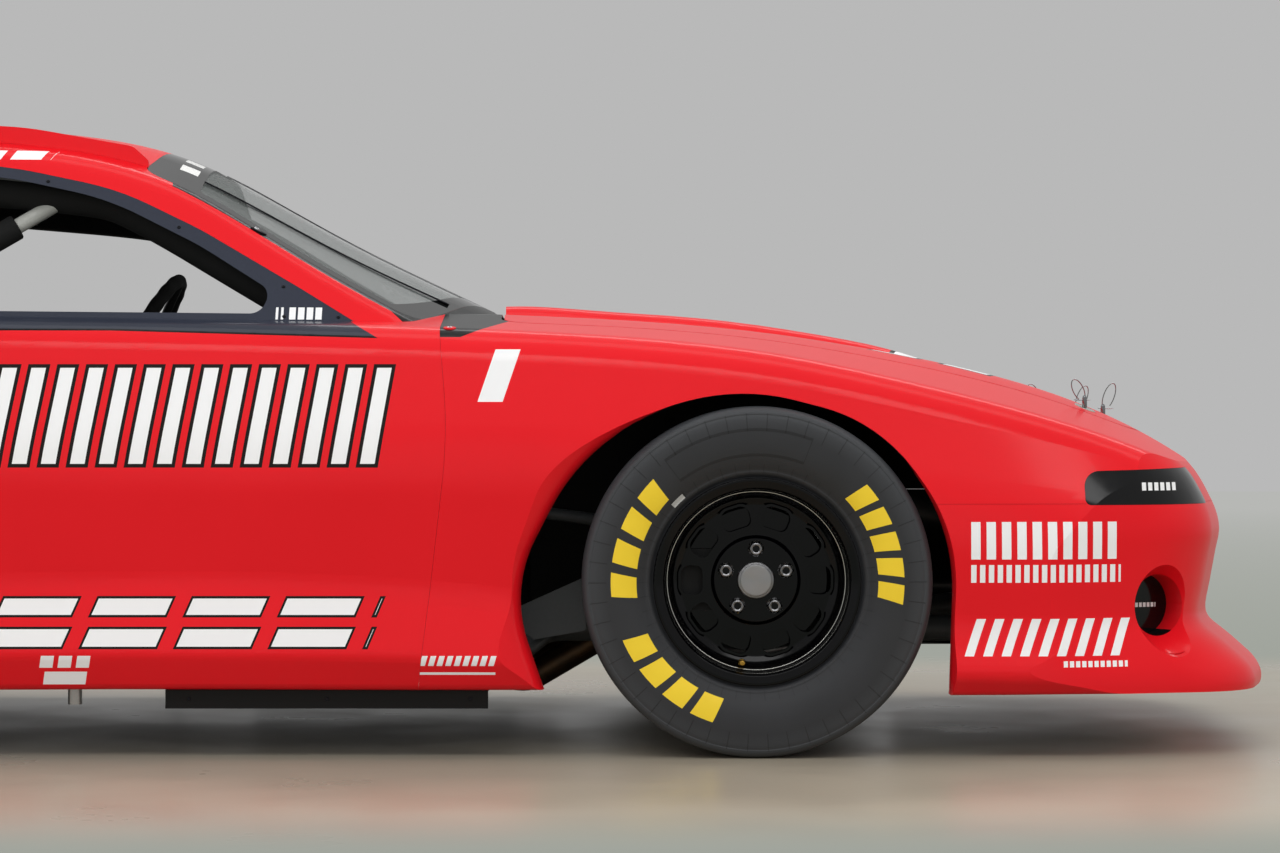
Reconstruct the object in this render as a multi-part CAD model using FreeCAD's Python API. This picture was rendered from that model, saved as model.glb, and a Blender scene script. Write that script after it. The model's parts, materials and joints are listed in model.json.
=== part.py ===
"""Oval-track stock car: tube-frame racing coupe with a thin moulded body, V8 up front and a live rear axle.

Row frame: +X forwards, +Y to the driver's left, +Z up, origin on the floor at the centre of the overall box.
Lengths are millimetres. Stations along the car are given from the front axle (F) or the rear axle (R),
positive forwards. Every body section is a closed polygon of straight runs with rounded corners, so a skin's
inner face is the same polygon moved inwards by the skin's thickness.
"""
import FreeCAD
import Part
import math
import os

V = FreeCAD.Vector
X_AXIS = V(1, 0, 0)
Y_AXIS = V(0, 1, 0)
Z_AXIS = V(0, 0, 1)
ORIGIN = V(0, 0, 0)
SIDES = {"right": -1, "left": 1}

# ---- driving dimensions -------------------------------------------------------------------------
WHEELBASE = 2667.0
FRONT_OVERHANG = 1086.0
REAR_OVERHANG = 1100.0
TRACK = 1524.0
TYRE_R = 350.0            # outer radius of the racing slick
RIM_R = 207.0             # outer radius of the rim flange
SKIN = 5.0                # moulded body skin and polycarbonate glazing
SEAM = 0.5                # joint between fixed panels
LID_GAP = 6.0             # running gap round the hood and the deck lid
FIT = 0.4                 # clearance at which a piece sits on its seat

LENGTH = WHEELBASE + FRONT_OVERHANG + REAR_OVERHANG
FRONT_X = LENGTH / 2 - FRONT_OVERHANG
REAR_X = FRONT_X - WHEELBASE
WHEEL_Y = TRACK / 2
AXLE = {"F": FRONT_X, "R": REAR_X}
BIG = 4000.0              # reach of cutting tools that pass right through


# ---- small construction helpers -----------------------------------------------------------------
def box(x0, x1, y0, y1, z0, z1):
    """A block between two corners."""
    return Part.makeBox(x1 - x0, y1 - y0, z1 - z0, V(x0, y0, z0))


def rod(a, b, radius):
    """A round bar from point a to point b."""
    a, b = V(*a), V(*b)
    return Part.makeCylinder(radius, (b - a).Length, a, b - a)


def mirrored(shape):
    """The same shape on the other side of the car's centre plane."""
    return shape.mirror(ORIGIN, Y_AXIS)


def joined(shapes):
    """One solid from touching or crossing solids."""
    first, rest = shapes[0], shapes[1:]
    return first.fuse(rest).removeSplitter() if rest else first


def on_side(shape, side):
    """A piece drawn on the left, put on the named side."""
    return shape if SIDES[side] > 0 else mirrored(shape)


def corner_loop(corners, inset):
    """Moves a closed polygon of (a, b, radius) corners inwards by inset, as a parallel curve."""
    if not inset:
        return corners
    count = len(corners)
    area = sum(corners[i][0] * corners[(i + 1) % count][1] - corners[(i + 1) % count][0] * corners[i][1]
               for i in range(count))
    turn = 1.0 if area > 0 else -1.0
    moved = []
    for i in range(count):
        pa, pb, pc = corners[i - 1], corners[i], corners[(i + 1) % count]
        ux, uy = pb[0] - pa[0], pb[1] - pa[1]
        wx, wy = pc[0] - pb[0], pc[1] - pb[1]
        ul, wl = math.hypot(ux, uy), math.hypot(wx, wy)
        ux, uy, wx, wy = ux / ul, uy / ul, wx / wl, wy / wl
        cross = (ux * wy - uy * wx) * turn
        scale = inset / (1 + ux * wx + uy * wy)
        nx, ny = -(uy + wy) * turn * scale, (ux + wx) * turn * scale
        radius = max(pb[2] - inset, 1.0) if cross > 0 else pb[2] + inset
        moved.append((pb[0] + nx, pb[1] + ny, radius))
    return moved


def rounded_wire(corners, place):
    """A closed wire of lines and arcs through (a, b, radius) corners; place maps (a, b) to space."""
    count = len(corners)
    ends = []
    for i in range(count):
        pa, pb, pc = corners[i - 1], corners[i], corners[(i + 1) % count]
        ua, wa = (pa[0] - pb[0], pa[1] - pb[1]), (pc[0] - pb[0], pc[1] - pb[1])
        ul, wl = math.hypot(*ua), math.hypot(*wa)
        ua, wa = (ua[0] / ul, ua[1] / ul), (wa[0] / wl, wa[1] / wl)
        bx, by = ua[0] + wa[0], ua[1] + wa[1]
        bl = math.hypot(bx, by)
        if not pb[2] or bl < 1e-6:
            ends.append((pb[:2], None, pb[:2]))
            continue
        half = math.acos(max(-1.0, min(1.0, ua[0] * wa[0] + ua[1] * wa[1]))) / 2
        reach = min(pb[2] / math.tan(half), 0.46 * ul, 0.46 * wl)
        radius = reach * math.tan(half)
        first = (pb[0] + ua[0] * reach, pb[1] + ua[1] * reach)
        last = (pb[0] + wa[0] * reach, pb[1] + wa[1] * reach)
        to_mid = radius / math.sin(half) - radius
        mid = (pb[0] + bx / bl * to_mid, pb[1] + by / bl * to_mid)
        ends.append((first, mid, last))
    edges = []
    for i in range(count):
        first, mid, last = ends[i]
        if mid:
            edges.append(Part.Arc(place(*first), place(*mid), place(*last)).toShape())
        edges.append(Part.LineSegment(place(*last), place(*ends[(i + 1) % count][0])).toShape())
    return Part.Wire(edges)


def prism(corners, place, along):
    """A solid from a rounded outline, pushed along a vector."""
    return Part.Face(rounded_wire(corners, place)).extrude(along)


def plan(z):
    """Places (x, y) at height z."""
    return lambda x, y: V(x, y, z)


def side_view(y):
    """Places (x, z) at the given y."""
    return lambda x, z: V(x, y, z)


def front_view(x):
    """Places (y, z) at the given x."""
    return lambda y, z: V(x, y, z)


def both_halves(half, inset):
    """A closed outline moved inwards by inset, from the (y, height, radius) corners of its left half."""
    return corner_loop(half + [(-y, z, r) for y, z, r in reversed(half)], inset)


def left_of(shape, reach):
    """The part of a shape to the left of the plane y = -reach."""
    return shape.common(box(-BIG, BIG, -reach, BIG, -BIG, BIG))


def whole(shape):
    """A left half and its mirror image, joined on the centre plane."""
    return shape.fuse(mirrored(shape))


def bent_tube(points, radius, bend):
    """A round tube, solid inside, along straight runs joined by bends."""
    pts = [V(*p) for p in points]
    edges, start = [], pts[0]
    for a, b, c in zip(pts, pts[1:], pts[2:]):
        ua, wc = (a - b).normalize(), (c - b).normalize()
        half = ua.getAngle(wc) / 2
        reach = min(bend / math.tan(half), 0.45 * (a - b).Length, 0.45 * (c - b).Length)
        middle = b + (ua + wc).normalize() * (reach / math.cos(half) - reach * math.tan(half))
        edges.append(Part.LineSegment(start, b + ua * reach).toShape())
        edges.append(Part.Arc(b + ua * reach, middle, b + wc * reach).toShape())
        start = b + wc * reach
    edges.append(Part.LineSegment(start, pts[-1]).toShape())
    path = Part.Wire(edges)
    ring = Part.Wire(Part.makeCircle(radius, pts[0], pts[1] - pts[0]))
    return path.makePipeShell([ring], True, False)


def turned(corners, centre, axis, out):
    """A solid of revolution about a line through centre, from (along, out, corner radius) corners."""
    centre, axis, out = V(*centre), V(*axis), V(*out)
    face = Part.Face(rounded_wire(corners, lambda a, r: centre + axis * a + out * r))
    return face.revolve(centre, axis, 360)


# ---- the lower body's sections --------------------------------------------------------------------
FLOOR_Z = 136.0           # underside of the body skirts
LIP_Z = 128.0             # underside of the front lip
CORNER_R = {"sill": 22.0, "skirt": 34.0, "neck": 150.0, "waist": 380.0, "shoulder": 95.0, "crown": 620.0}
# axle, station, sill y, skirt y z, neck y z, waist y z, shoulder y z, crown y z
BODY_SECTIONS = [
    ("F", 1110, 915, (952, 165), (915, 245), (912, 350), (770, 410), (370, 430)),
    ("F", 900, 915, (952, 165), (914, 245), (922, 420), (798, 556), (380, 608)),
    ("F", 600, 918, (954, 165), (916, 245), (930, 450), (826, 668), (400, 744)),
    ("F", 250, 918, (952, 170), (918, 250), (936, 510), (850, 756), (430, 824)),
    ("F", -50, 916, (950, 175), (918, 260), (938, 560), (858, 812), (450, 866)),
    ("F", -450, 912, (944, 195), (912, 310), (930, 590), (850, 844), (470, 892)),
    ("F", -800, 908, (940, 205), (905, 340), (922, 595), (836, 858), (470, 903)),
    ("F", -1500, 906, (938, 208), (902, 345), (918, 600), (830, 874), (470, 915)),
    ("R", 560, 908, (940, 205), (904, 340), (924, 605), (836, 890), (480, 930)),
    ("R", 0, 914, (946, 200), (914, 330), (938, 610), (848, 908), (490, 950)),
    ("R", -520, 908, (942, 205), (910, 320), (926, 590), (828, 922), (500, 962)),
    ("R", -1160, 890, (922, 225), (895, 330), (900, 560), (790, 905), (480, 948)),
]


def body_half(row, floor_z):
    """Corners of one body section, from the sill up to the crown."""
    _, _, sill_y, skirt, neck, waist, shoulder, crown = row
    return [(sill_y, floor_z, CORNER_R["sill"]), (*skirt, CORNER_R["skirt"]), (*neck, CORNER_R["neck"]),
            (*waist, CORNER_R["waist"]), (*shoulder, CORNER_R["shoulder"]), (*crown, CORNER_R["crown"])]


# Plan outlines that round off both ends: height, reach of the nose from F, reach of the tail behind R.
PLAN_LEVELS = [
    (90, 1080, 1035), (LIP_Z + 5, FRONT_OVERHANG - 1, 1045), (150, FRONT_OVERHANG - 2, 1050),
    (172, 1073, 1053), (200, 1045, 1060), (233, 1006, 1065), (262, 974, 1070), (320, 974, 1079),
    (405, 990, 1090), (443, 997, 1095), (497, 985, 1098), (532, 968, 1098), (568, 946, 1098),
    (610, 908, 1096), (650, 872, 1093), (740, 800, 1086), (830, 750, 1078), (920, 710, 1069), (1010, 680, 1060),
]
# Plan corners of the nose and of the tail: back from the end, y, radius.
NOSE_CORNERS = [(0, 430, 1300), (95, 815, 280), (400, 928, 900), (900, 1000, 300)]
TAIL_CORNERS = [(0, 420, 1300), (90, 780, 260), (300, 905, 700), (820, 1000, 300)]


def plan_corners(nose, tail):
    """The left corners of a plan outline with the given reaches, as (y, x, radius) from tail to nose."""
    front = [(y, FRONT_X + nose - back, r) for back, y, r in NOSE_CORNERS]
    rear = [(y, REAR_X - tail + back, r) for back, y, r in TAIL_CORNERS]
    return rear + front[::-1]


def lower_body(inset):
    """The left half of the form below the glass, moved inwards by inset and that far past the middle."""
    sections = []
    for row in BODY_SECTIONS:
        lip = row[0] == "F" and row[1] > 0
        loop = both_halves(body_half(row, LIP_Z if lip else FLOOR_Z), inset)
        sections.append(rounded_wire(loop, front_view(AXLE[row[0]] + row[1])))
    long_form = Part.makeLoft(sections, True, False)
    levels = []
    for z, nose, tail in PLAN_LEVELS:
        loop = both_halves(plan_corners(nose, tail), inset)
        levels.append(rounded_wire(loop, lambda y, x, z=z: V(x, y, z)))
    plan_form = Part.makeLoft(levels, True, False)
    return left_of(long_form.common(plan_form), inset)


# ---- the greenhouse's sections -----------------------------------------------------------------
ROOF_R = {"foot": 10.0, "rail": 70.0, "crown": 700.0}
# axle, station, foot y z, rail y z, crown y z
ROOF_SECTIONS = [
    ("F", -60, (760, 400), (700, 560), (320, 654)),
    ("F", -380, (820, 560), (735, 720), (320, 816)),
    ("F", -660, (850, 640), (706, 852), (310, 958)),
    ("F", -1000, (860, 700), (632, 1042), (290, 1132)),
    ("F", -1290, (862, 700), (572, 1188), (270, 1262)),
    ("F", -1520, (862, 700), (560, 1232), (265, 1296)),
    ("F", -1900, (862, 700), (556, 1250), (260, 1312)),
    ("R", 300, (858, 700), (552, 1222), (260, 1288)),
    ("R", -60, (850, 700), (560, 1108), (265, 1178)),
    ("R", -420, (830, 680), (600, 950), (280, 1010)),
    ("R", -700, (800, 620), (640, 790), (290, 846)),
    ("R", -950, (760, 500), (660, 650), (300, 706)),
]


def greenhouse(inset):
    """The left half of the form of roof, pillars and glass, moved inwards by inset and past the middle."""
    sections = []
    for axle, station, foot, rail, crown in ROOF_SECTIONS:
        half = [(*foot, ROOF_R["foot"]), (*rail, ROOF_R["rail"]), (*crown, ROOF_R["crown"])]
        sections.append(rounded_wire(both_halves(half, inset), front_view(AXLE[axle] + station)))
    return left_of(Part.makeLoft(sections, True, False), inset)


# ---- wheel openings ------------------------------------------------------------------------------
# Side-view corners of a wheel opening: station from its axle, height, radius, then how far the corner moves
# back and up for each millimetre that the body rolls under towards the opening.
FRONT_ARCH = [(-430, -60, 5, 0.8, 0.0), (-412, 102, 60, 0.8, 0.0), (-493, 335, 264, 1.0, 0.1),
              (-345, 622, 402, 0.7, 0.6), (-61, 746, 425, 0.1, 0.4), (246, 667, 322, -0.1, 0.15),
              (393, 447, 425, -0.1, 0.0), (376, -60, 5, -0.1, 0.0)]
REAR_ARCH = [(-392, -60, 5, 0.3, 0.0), (-398, 380, 260, 0.3, 0.0), (-262, 655, 240, 0.2, 0.2),
             (0, 752, 330, 0.0, 0.3), (262, 655, 240, -0.4, 0.4), (398, 380, 260, -0.5, 0.0),
             (392, -60, 5, -0.5, 0.0)]
ARCH_REACH = 560.0        # the openings are cut outside this distance from the centre plane
ARCH_FLANGE_Y = 872.0     # inner edge of the return flange round a wheel opening
# Distance outwards from the flange's edge, and the roll there.
ARCH_ROLL = [(0, 0), (21, 4), (36, 13), (46, 26), (54, 42), (103, 105)]
ARCHES = (("F", FRONT_ARCH), ("R", REAR_ARCH))


def arch_wire(axle, corners, grow, roll, y):
    """One outline of a wheel opening, opened up by the roll of the body's edge."""
    moved = [(AXLE[axle] + a - roll * back, b + roll * up, r) for a, b, r, back, up in corners]
    return rounded_wire(corner_loop(moved, -grow), side_view(y))


def arch_mouth(axle, corners, grow):
    """The flared outer part of a wheel opening on the left, from its flange's edge out past the skin."""
    inset = 0.8 * grow
    sections = [arch_wire(axle, corners, grow, roll, ARCH_FLANGE_Y + out - inset) for out, roll in ARCH_ROLL]
    return Part.makeLoft(sections, True, False)


def arch_throat(axle, corners):
    """The straight inner part of a wheel opening on the left."""
    return Part.Face(arch_wire(axle, corners, 0, 0, ARCH_REACH)).extrude(Y_AXIS * (ARCH_FLANGE_Y - ARCH_REACH))


# ---- panel outlines --------------------------------------------------------------------------------
# Bowed seam ahead of the door: (station from F, height, radius).
DOOR_FRONT = [(-690, -10, 0), (-614, 640, 900), (-660, 1100, 0)]
DOOR_REAR = FRONT_X - 1905.0
BUMPER_TOP = 505.0        # seam between front bumper cover and the clip above it
REAR_BUMPER_TOP = 560.0
TAIL_TOP = 830.0          # seam between the tail face and the deck
TAIL_FACE_X = REAR_X - 985.0
# Hood outline in plan: station from the front axle, y, radius.
HOOD_PLAN = [(872, 0, 1800), (852, 330, 400), (770, 505, 120), (-512, 640, 60), (-528, 0, 3000)]
DECK_PLAN = [(-548, 0, 3000), (-548, 560, 60), (-1400, 730, 60), (-1400, 0, 100)]
WINDSHIELD_PLAN = [(-500, 0, 1500), (-684, 672, 60), (-1268, 535, 60), (-1226, 0, 1800)]
REAR_GLASS_PLAN = [(190, 0, 1500), (150, 480, 70), (-385, 545, 70), (-470, 0, 1500)]
BELLY_PLAN = [(960, 0, 1200), (840, 700, 300), (560, 860, 500), (-900, 868, 300), (-3500, 840, 300),
              (-3690, 600, 200), (-3700, 0, 900)]
BELLY_TOP = FLOOR_Z + 20
# Side window surround, its clear opening, and the rear quarter window, in side view from the front axle.
SURROUND = [(-778, 820, 6), (-778, 850, 10), (-925, 940, 600), (-1135, 1063, 700), (-1310, 1148, 600),
            (-1550, 1199, 900), (-1925, 1212, 50), (-1968, 820, 30)]
OPENING = [(-1002, 888, 55), (-985, 936, 45), (-1135, 1030, 600), (-1330, 1128, 600), (-1550, 1176, 700),
           (-1885, 1186, 40), (-1920, 896, 40)]
QUARTER = [(-2075, 900, 30), (-2070, 1150, 50), (-2330, 1130, 300), (-2600, 990, 300), (-2740, 915, 40),
           (-2720, 900, 20)]
# Flush covers over the lamps, in side view: station from the axle, height, radius.
HEADLAMP = [(652, 503, 12), (652, 569, 38), (1100, 582, 14), (1100, 503, 14)]
# The headlamp cover seen from ahead: (y, height, radius).
HEADLAMP_END = [(650, 503, 14), (650, 584, 30), (1100, 584, 14), (1100, 503, 14)]
TAIL_LAMP = (250, 760, 640, 760)     # y and height limits of a tail lamp cover
# Raised centre of the hood: station from F, height of the top, half width.
BULGE_ROWS = [(-600, 908, 262), (-500, 921, 258), (-322, 911, 252), (-144, 899, 246), (34, 879, 240),
              (160, 859, 234), (278, 836, 228), (400, 799, 220), (520, 748, 212), (620, 690, 205)]
BULGE_SIDE = 50.0         # run of the raised centre's sloping sides
# Brake duct in the front corner: station from F, y, height; outer radius of the hole; direction in plan.
DUCT = (820, 818, 300)
DUCT_R = 62.0
DUCT_WALL = 5.0
DUCT_DEPTH = 80.0
DUCT_FLARE, DUCT_FLARE_SLOPE = 24.0, 0.6     # depth at which the mouth starts to open out, and how fast
DUCT_AXIS = V(0.5, 0.866, 0)
# Radiator intake in the nose: half width, bottom, top, back of its liner from F.
INTAKE = (360, 250, 395, 880)
GRILLE_CELLS = (9, 4)     # openings on each side of the middle, and openings high
GRILLE_BAR = 6.0          # width of a bar between two openings
GRILLE_DEPTH = 8.0


def plan_prism(corners, axle, grow):
    """A vertical cutter from the left half of a plan outline whose ends lie on the centre plane."""
    full = [(AXLE[axle] + a, b, r) for a, b, r in corners]
    full += [(a, -b, r) for a, b, r in reversed(full[1:-1])]
    return prism(corner_loop(full, -grow), plan(0), Z_AXIS * BIG)


def side_prism(corners, grow, reach):
    """A cutter pushed out to the left from a side-view outline, starting at reach."""
    moved = corner_loop([(FRONT_X + a, b, r) for a, b, r in corners], -grow)
    return prism(moved, side_view(reach), Y_AXIS * BIG)


def bulge(inset):
    """The closed form of the hood's raised centre, moved inwards by inset."""
    sections = []
    for station, top, width in BULGE_ROWS:
        half = [(width + 2 * BULGE_SIDE, top - 120, 5), (width + BULGE_SIDE, top - 60, 60),
                (width, top - 3, 60), (width / 2, top, 500)]
        sections.append(rounded_wire(both_halves(half, inset), front_view(FRONT_X + station)))
    return left_of(Part.makeLoft(sections, True, False), inset)


def duct_cylinder(radius, start, end):
    """A cylinder on the brake duct's axis, between two distances outwards from its centre."""
    centre = V(FRONT_X + DUCT[0], DUCT[1], DUCT[2])
    return Part.makeCylinder(radius, end - start, centre + DUCT_AXIS * start, DUCT_AXIS)


def duct_flare(wall, end):
    """The cone of the brake duct's mouth, with its wall outside it."""
    centre = V(FRONT_X + DUCT[0], DUCT[1], DUCT[2])
    length = DUCT_FLARE + end
    start = DUCT_R + wall
    end_r = start + DUCT_FLARE_SLOPE * length
    return Part.makeCone(start, end_r, length, centre - DUCT_AXIS * DUCT_FLARE, DUCT_AXIS)


def ahead_of_door(gap):
    """Everything on the left that lies ahead of the seam between the door panel and the front clip."""
    seam = [(FRONT_X + a + gap, b, r) for a, b, r in DOOR_FRONT]
    return prism(seam + [(BIG, 1100, 0), (BIG, -10, 0)], side_view(-SKIN), Y_AXIS * BIG)


def headlamp_zone(grow):
    """The space of a flush headlamp cover, from its outlines seen from the side and from ahead."""
    end = corner_loop(HEADLAMP_END, -grow)
    return side_prism(HEADLAMP, grow, 500).common(prism(end, front_view(FRONT_X + 500), X_AXIS * BIG))


# Gooseneck hinges: pivot's station, y and height, and the arm's corners from its pivot (towards the lid, up).
HOOD_HINGE = ("F", -640.0, 330.0, 895.0, 1)
LID_HINGE = ("R", -438.0, 330.0, 950.0, -1)
HINGE_ARM = [(140, 0), (140, -70), (92, -123), (32, -103), (0, 0)]
HINGE_PIN_R = 6.0


def gooseneck(hinge, lid_z):
    """A hinge arm on the left from the lid's underside round its edge to an eye on the pivot."""
    axle, station, y, z, way = hinge
    x = AXLE[axle] + station
    points = [(x + way * a, y, z + b) for a, b in HINGE_ARM]
    points[0] = (points[0][0], y, lid_z)
    arm = bent_tube(points, 8, 40).fuse(rod((x, y - 10, z), (x, y + 10, z), 13))
    return arm.cut(rod((x, y - 20, z), (x, y + 20, z), HINGE_PIN_R + 0.3))


def hinge_pin(hinge):
    """The fixed pin of a hinge on the left."""
    axle, station, y, z, _ = hinge
    return rod((AXLE[axle] + station, y - 18, z), (AXLE[axle] + station, y + 18, z), HINGE_PIN_R)


# ---- the moulded body ------------------------------------------------------------------------------
def body_panels(nodes):
    """Every painted skin, cover and pane. Returns the left halves of the closed outer forms."""
    outer, inner = lower_body(0), lower_body(SKIN)
    cab_outer, cab_inner = greenhouse(0), greenhouse(SKIN)
    belly = plan_prism(BELLY_PLAN, "F", 0).common(box(-BIG, BIG, -BIG, BIG, 0, BELLY_TOP))
    hollow = inner.cut([arch_mouth(axle, corners, SKIN) for axle, corners in ARCHES])
    skin = outer.cut(hollow)
    skin = skin.cut([belly, cab_outer] + [arch_mouth(axle, corners, 0) for axle, corners in ARCHES]
                    + [arch_throat(axle, corners) for axle, corners in ARCHES])

    front = skin.common(ahead_of_door(SEAM))
    bumper_zone = box(FRONT_X, BIG, -1, BIG, 0, BUMPER_TOP)
    bumper = front.common(bumper_zone)
    clip = front.cut([box(FRONT_X, BIG, -1, BIG, 0, BUMPER_TOP + SEAM), plan_prism(HOOD_PLAN, "F", LID_GAP)])

    hood_zone = plan_prism(HOOD_PLAN, "F", 0).common(box(-BIG, BIG, 0, BIG, 560, 960))
    hood_outer = outer.common(hood_zone).fuse(bulge(0).common(hood_zone))
    hood_inner = inner.common(box(FRONT_X - 700, BIG, -SKIN, BIG, 500, BIG)).fuse(bulge(SKIN))
    hood = hood_outer.cut(hood_inner).cut(cab_outer).fuse(gooseneck(HOOD_HINGE, 891))

    half, low, high, back = INTAKE
    liner_out = box(FRONT_X + back, BIG, -1, half + SKIN, low - SKIN, high + SKIN).common(inner)
    mouth = box(FRONT_X + back - 1, BIG, -2, half, low, high)
    collar = duct_cylinder(DUCT_R + DUCT_WALL, -DUCT_DEPTH, 60).fuse(duct_flare(DUCT_WALL, 30)).common(inner)
    bumper = bumper.fuse([liner_out.cut(mouth), collar])
    bumper = bumper.cut([mouth, duct_cylinder(DUCT_R, -DUCT_DEPTH - 1, 90), duct_flare(0, 60)])
    grille = box(FRONT_X + back, FRONT_X + back + GRILLE_DEPTH, 0, half - FIT, low + FIT, high - FIT)
    columns, rows = GRILLE_CELLS
    pitch_y, pitch_z, bar = half / columns, (high - low) / rows, GRILLE_BAR / 2
    slots = []
    for i in range(columns):
        for k in range(rows):
            slots.append(box(FRONT_X, BIG, pitch_y * i + bar, pitch_y * (i + 1) - bar,
                             low + pitch_z * k + bar, low + pitch_z * (k + 1) - bar))
    grille = grille.cut(slots)
    duct_cover = duct_cylinder(DUCT_R - FIT, -DUCT_DEPTH, -DUCT_DEPTH + 5)

    headlamp, lamp_seat = front.common(headlamp_zone(0)), headlamp_zone(FIT)
    clip, bumper = clip.cut(lamp_seat), bumper.cut(lamp_seat)

    middle = skin.common(box(DOOR_REAR, FRONT_X, -1, BIG, 0, BIG)).cut(ahead_of_door(0))
    rear = skin.common(box(-BIG, DOOR_REAR - SEAM, -1, BIG, 0, BIG))
    tail_zone = [box(-BIG, REAR_X, -1, BIG, 0, REAR_BUMPER_TOP), box(-BIG, TAIL_FACE_X, -1, BIG, 0, TAIL_TOP)]
    tail_seat = [box(-BIG, REAR_X, -1, BIG, 0, REAR_BUMPER_TOP + SEAM),
                 box(-BIG, TAIL_FACE_X + SEAM, -1, BIG, 0, TAIL_TOP + SEAM)]
    tail = rear.common(tail_zone[0].fuse(tail_zone[1]))
    lid_zone = plan_prism(DECK_PLAN, "R", 0).common(box(-BIG, BIG, -1, BIG, TAIL_TOP + LID_GAP, BIG))
    lid_seat = plan_prism(DECK_PLAN, "R", LID_GAP).common(box(-BIG, BIG, -1, BIG, TAIL_TOP - 40, BIG))
    lid = rear.common(lid_zone).fuse(gooseneck(LID_HINGE, 960))
    quarter = rear.cut(tail_seat + [lid_seat]).cut(box(-BIG, BIG, -2, SEAM / 2, 0, BIG))
    low_y, high_y, low_z, high_z = TAIL_LAMP
    lamp = box(-BIG, REAR_X, low_y, high_y, low_z, high_z)
    tail_lamp = tail.common(lamp)
    tail = tail.cut(box(-BIG, REAR_X, low_y - FIT, high_y + FIT, low_z - FIT, high_z + FIT))

    cab = cab_outer.cut([cab_inner, outer])
    glass_zone, rear_zone = plan_prism(WINDSHIELD_PLAN, "F", 0), plan_prism(REAR_GLASS_PLAN, "R", 0)
    surround = side_prism(SURROUND, 0, 300)
    pane = side_prism(QUARTER, 0, 300)
    windshield, rear_window = cab.common(glass_zone), cab.common(rear_zone)
    frame = cab.common(surround).cut(side_prism(OPENING, 0, 300))
    quarter_window = cab.common(pane)
    cab = cab.cut([plan_prism(WINDSHIELD_PLAN, "F", FIT), plan_prism(REAR_GLASS_PLAN, "R", FIT),
                   side_prism(SURROUND, FIT, 299), side_prism(QUARTER, FIT, 299)])

    nodes["front_clip"] = whole(clip)
    nodes["front_bumper"] = whole(bumper)
    nodes["intake_grille"] = whole(grille)
    nodes["hood"] = whole(hood)
    nodes["greenhouse"] = whole(cab)
    nodes["windshield"] = whole(windshield)
    nodes["rear_window"] = whole(rear_window)
    nodes["quarter_windows"] = Part.makeCompound([quarter_window, mirrored(quarter_window)])
    nodes["lamp_covers"] = Part.makeCompound([headlamp, mirrored(headlamp), tail_lamp, mirrored(tail_lamp),
                                              duct_cover, mirrored(duct_cover)])
    nodes["rear_bumper"] = whole(tail)
    nodes["deck_lid"] = whole(lid)
    for side in SIDES:
        nodes["window_frame_" + side] = on_side(frame, side)
        nodes["door_panel_" + side] = on_side(middle, side)
        nodes["quarter_panel_" + side] = on_side(quarter, side)
    return outer, cab_outer


# ---- wheels and tyres --------------------------------------------------------------------------------
# Corners are (distance outboard of the wheel's centre plane, radius, corner radius).
BEAD_R = 190.0
TYRE_PROFILE = [(-119.6, BEAD_R + 0.3, 1), (-119.6, 209, 2), (-128, 212, 4), (-152, 258, 60), (-152, 324, 50),
                (-146, TYRE_R, 14), (146, TYRE_R, 14), (152, 324, 50), (152, 258, 60), (128, 212, 4),
                (119.6, 209, 2), (119.6, BEAD_R + 0.3, 1), (90, BEAD_R + 0.3, 2), (96, 206, 12), (140, 256, 50),
                (139, 316, 40), (129, 338, 18), (-129, 338, 18), (-139, 316, 40), (-140, 256, 50), (-96, 206, 12),
                (-90, BEAD_R + 0.3, 2)]
RIM_PROFILE = [(-129, 201, 2), (-129, RIM_R, 3), (-120, RIM_R, 2), (-120, BEAD_R, 2), (-84, BEAD_R, 4),
               (-66, 172, 8), (40, 172, 8), (60, BEAD_R, 4), (120, BEAD_R, 2), (120, RIM_R, 3), (129, RIM_R, 3),
               (129, 201, 2), (124, 186, 5), (104, 184, 4), (66, 183, 6), (46, 166, 8), (-62, 166, 8),
               (-80, 184, 4), (-124, 185, 4)]
DISC_PROFILE = [(12, 26, 1), (34, 26, 2), (34, 84, 4), (26, 90, 4), (26, 153, 6), (34, 168, 3), (24, 168.5, 2),
                (14, 153, 6), (14, 90, 4), (12, 84, 1)]
HUB_PROFILE = [(-38, 62, 2), (12, 62, 2), (12, 25.3, 0), (-38, 25.3, 0)]
WINDOW = [(-28, 107, 14), (28, 107, 14), (31, 151, 20), (-31, 151, 20)]     # tangential, radial, corner radius
WINDOWS = 10
NUTS, NUT_RING_R, NUT_R = 5, 63.5, 13.0
ROTOR = (145.0, -34.0, -14.0)       # radius, inner and outer face
CALIPER_R = (88.0, 160.0)           # inner and outer radius of the caliper
CALIPER_BACK = ROTOR[1] - 21.0      # the caliper's inboard face
SPINDLE_R = 25.0
CAP_R = 36.5


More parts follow.
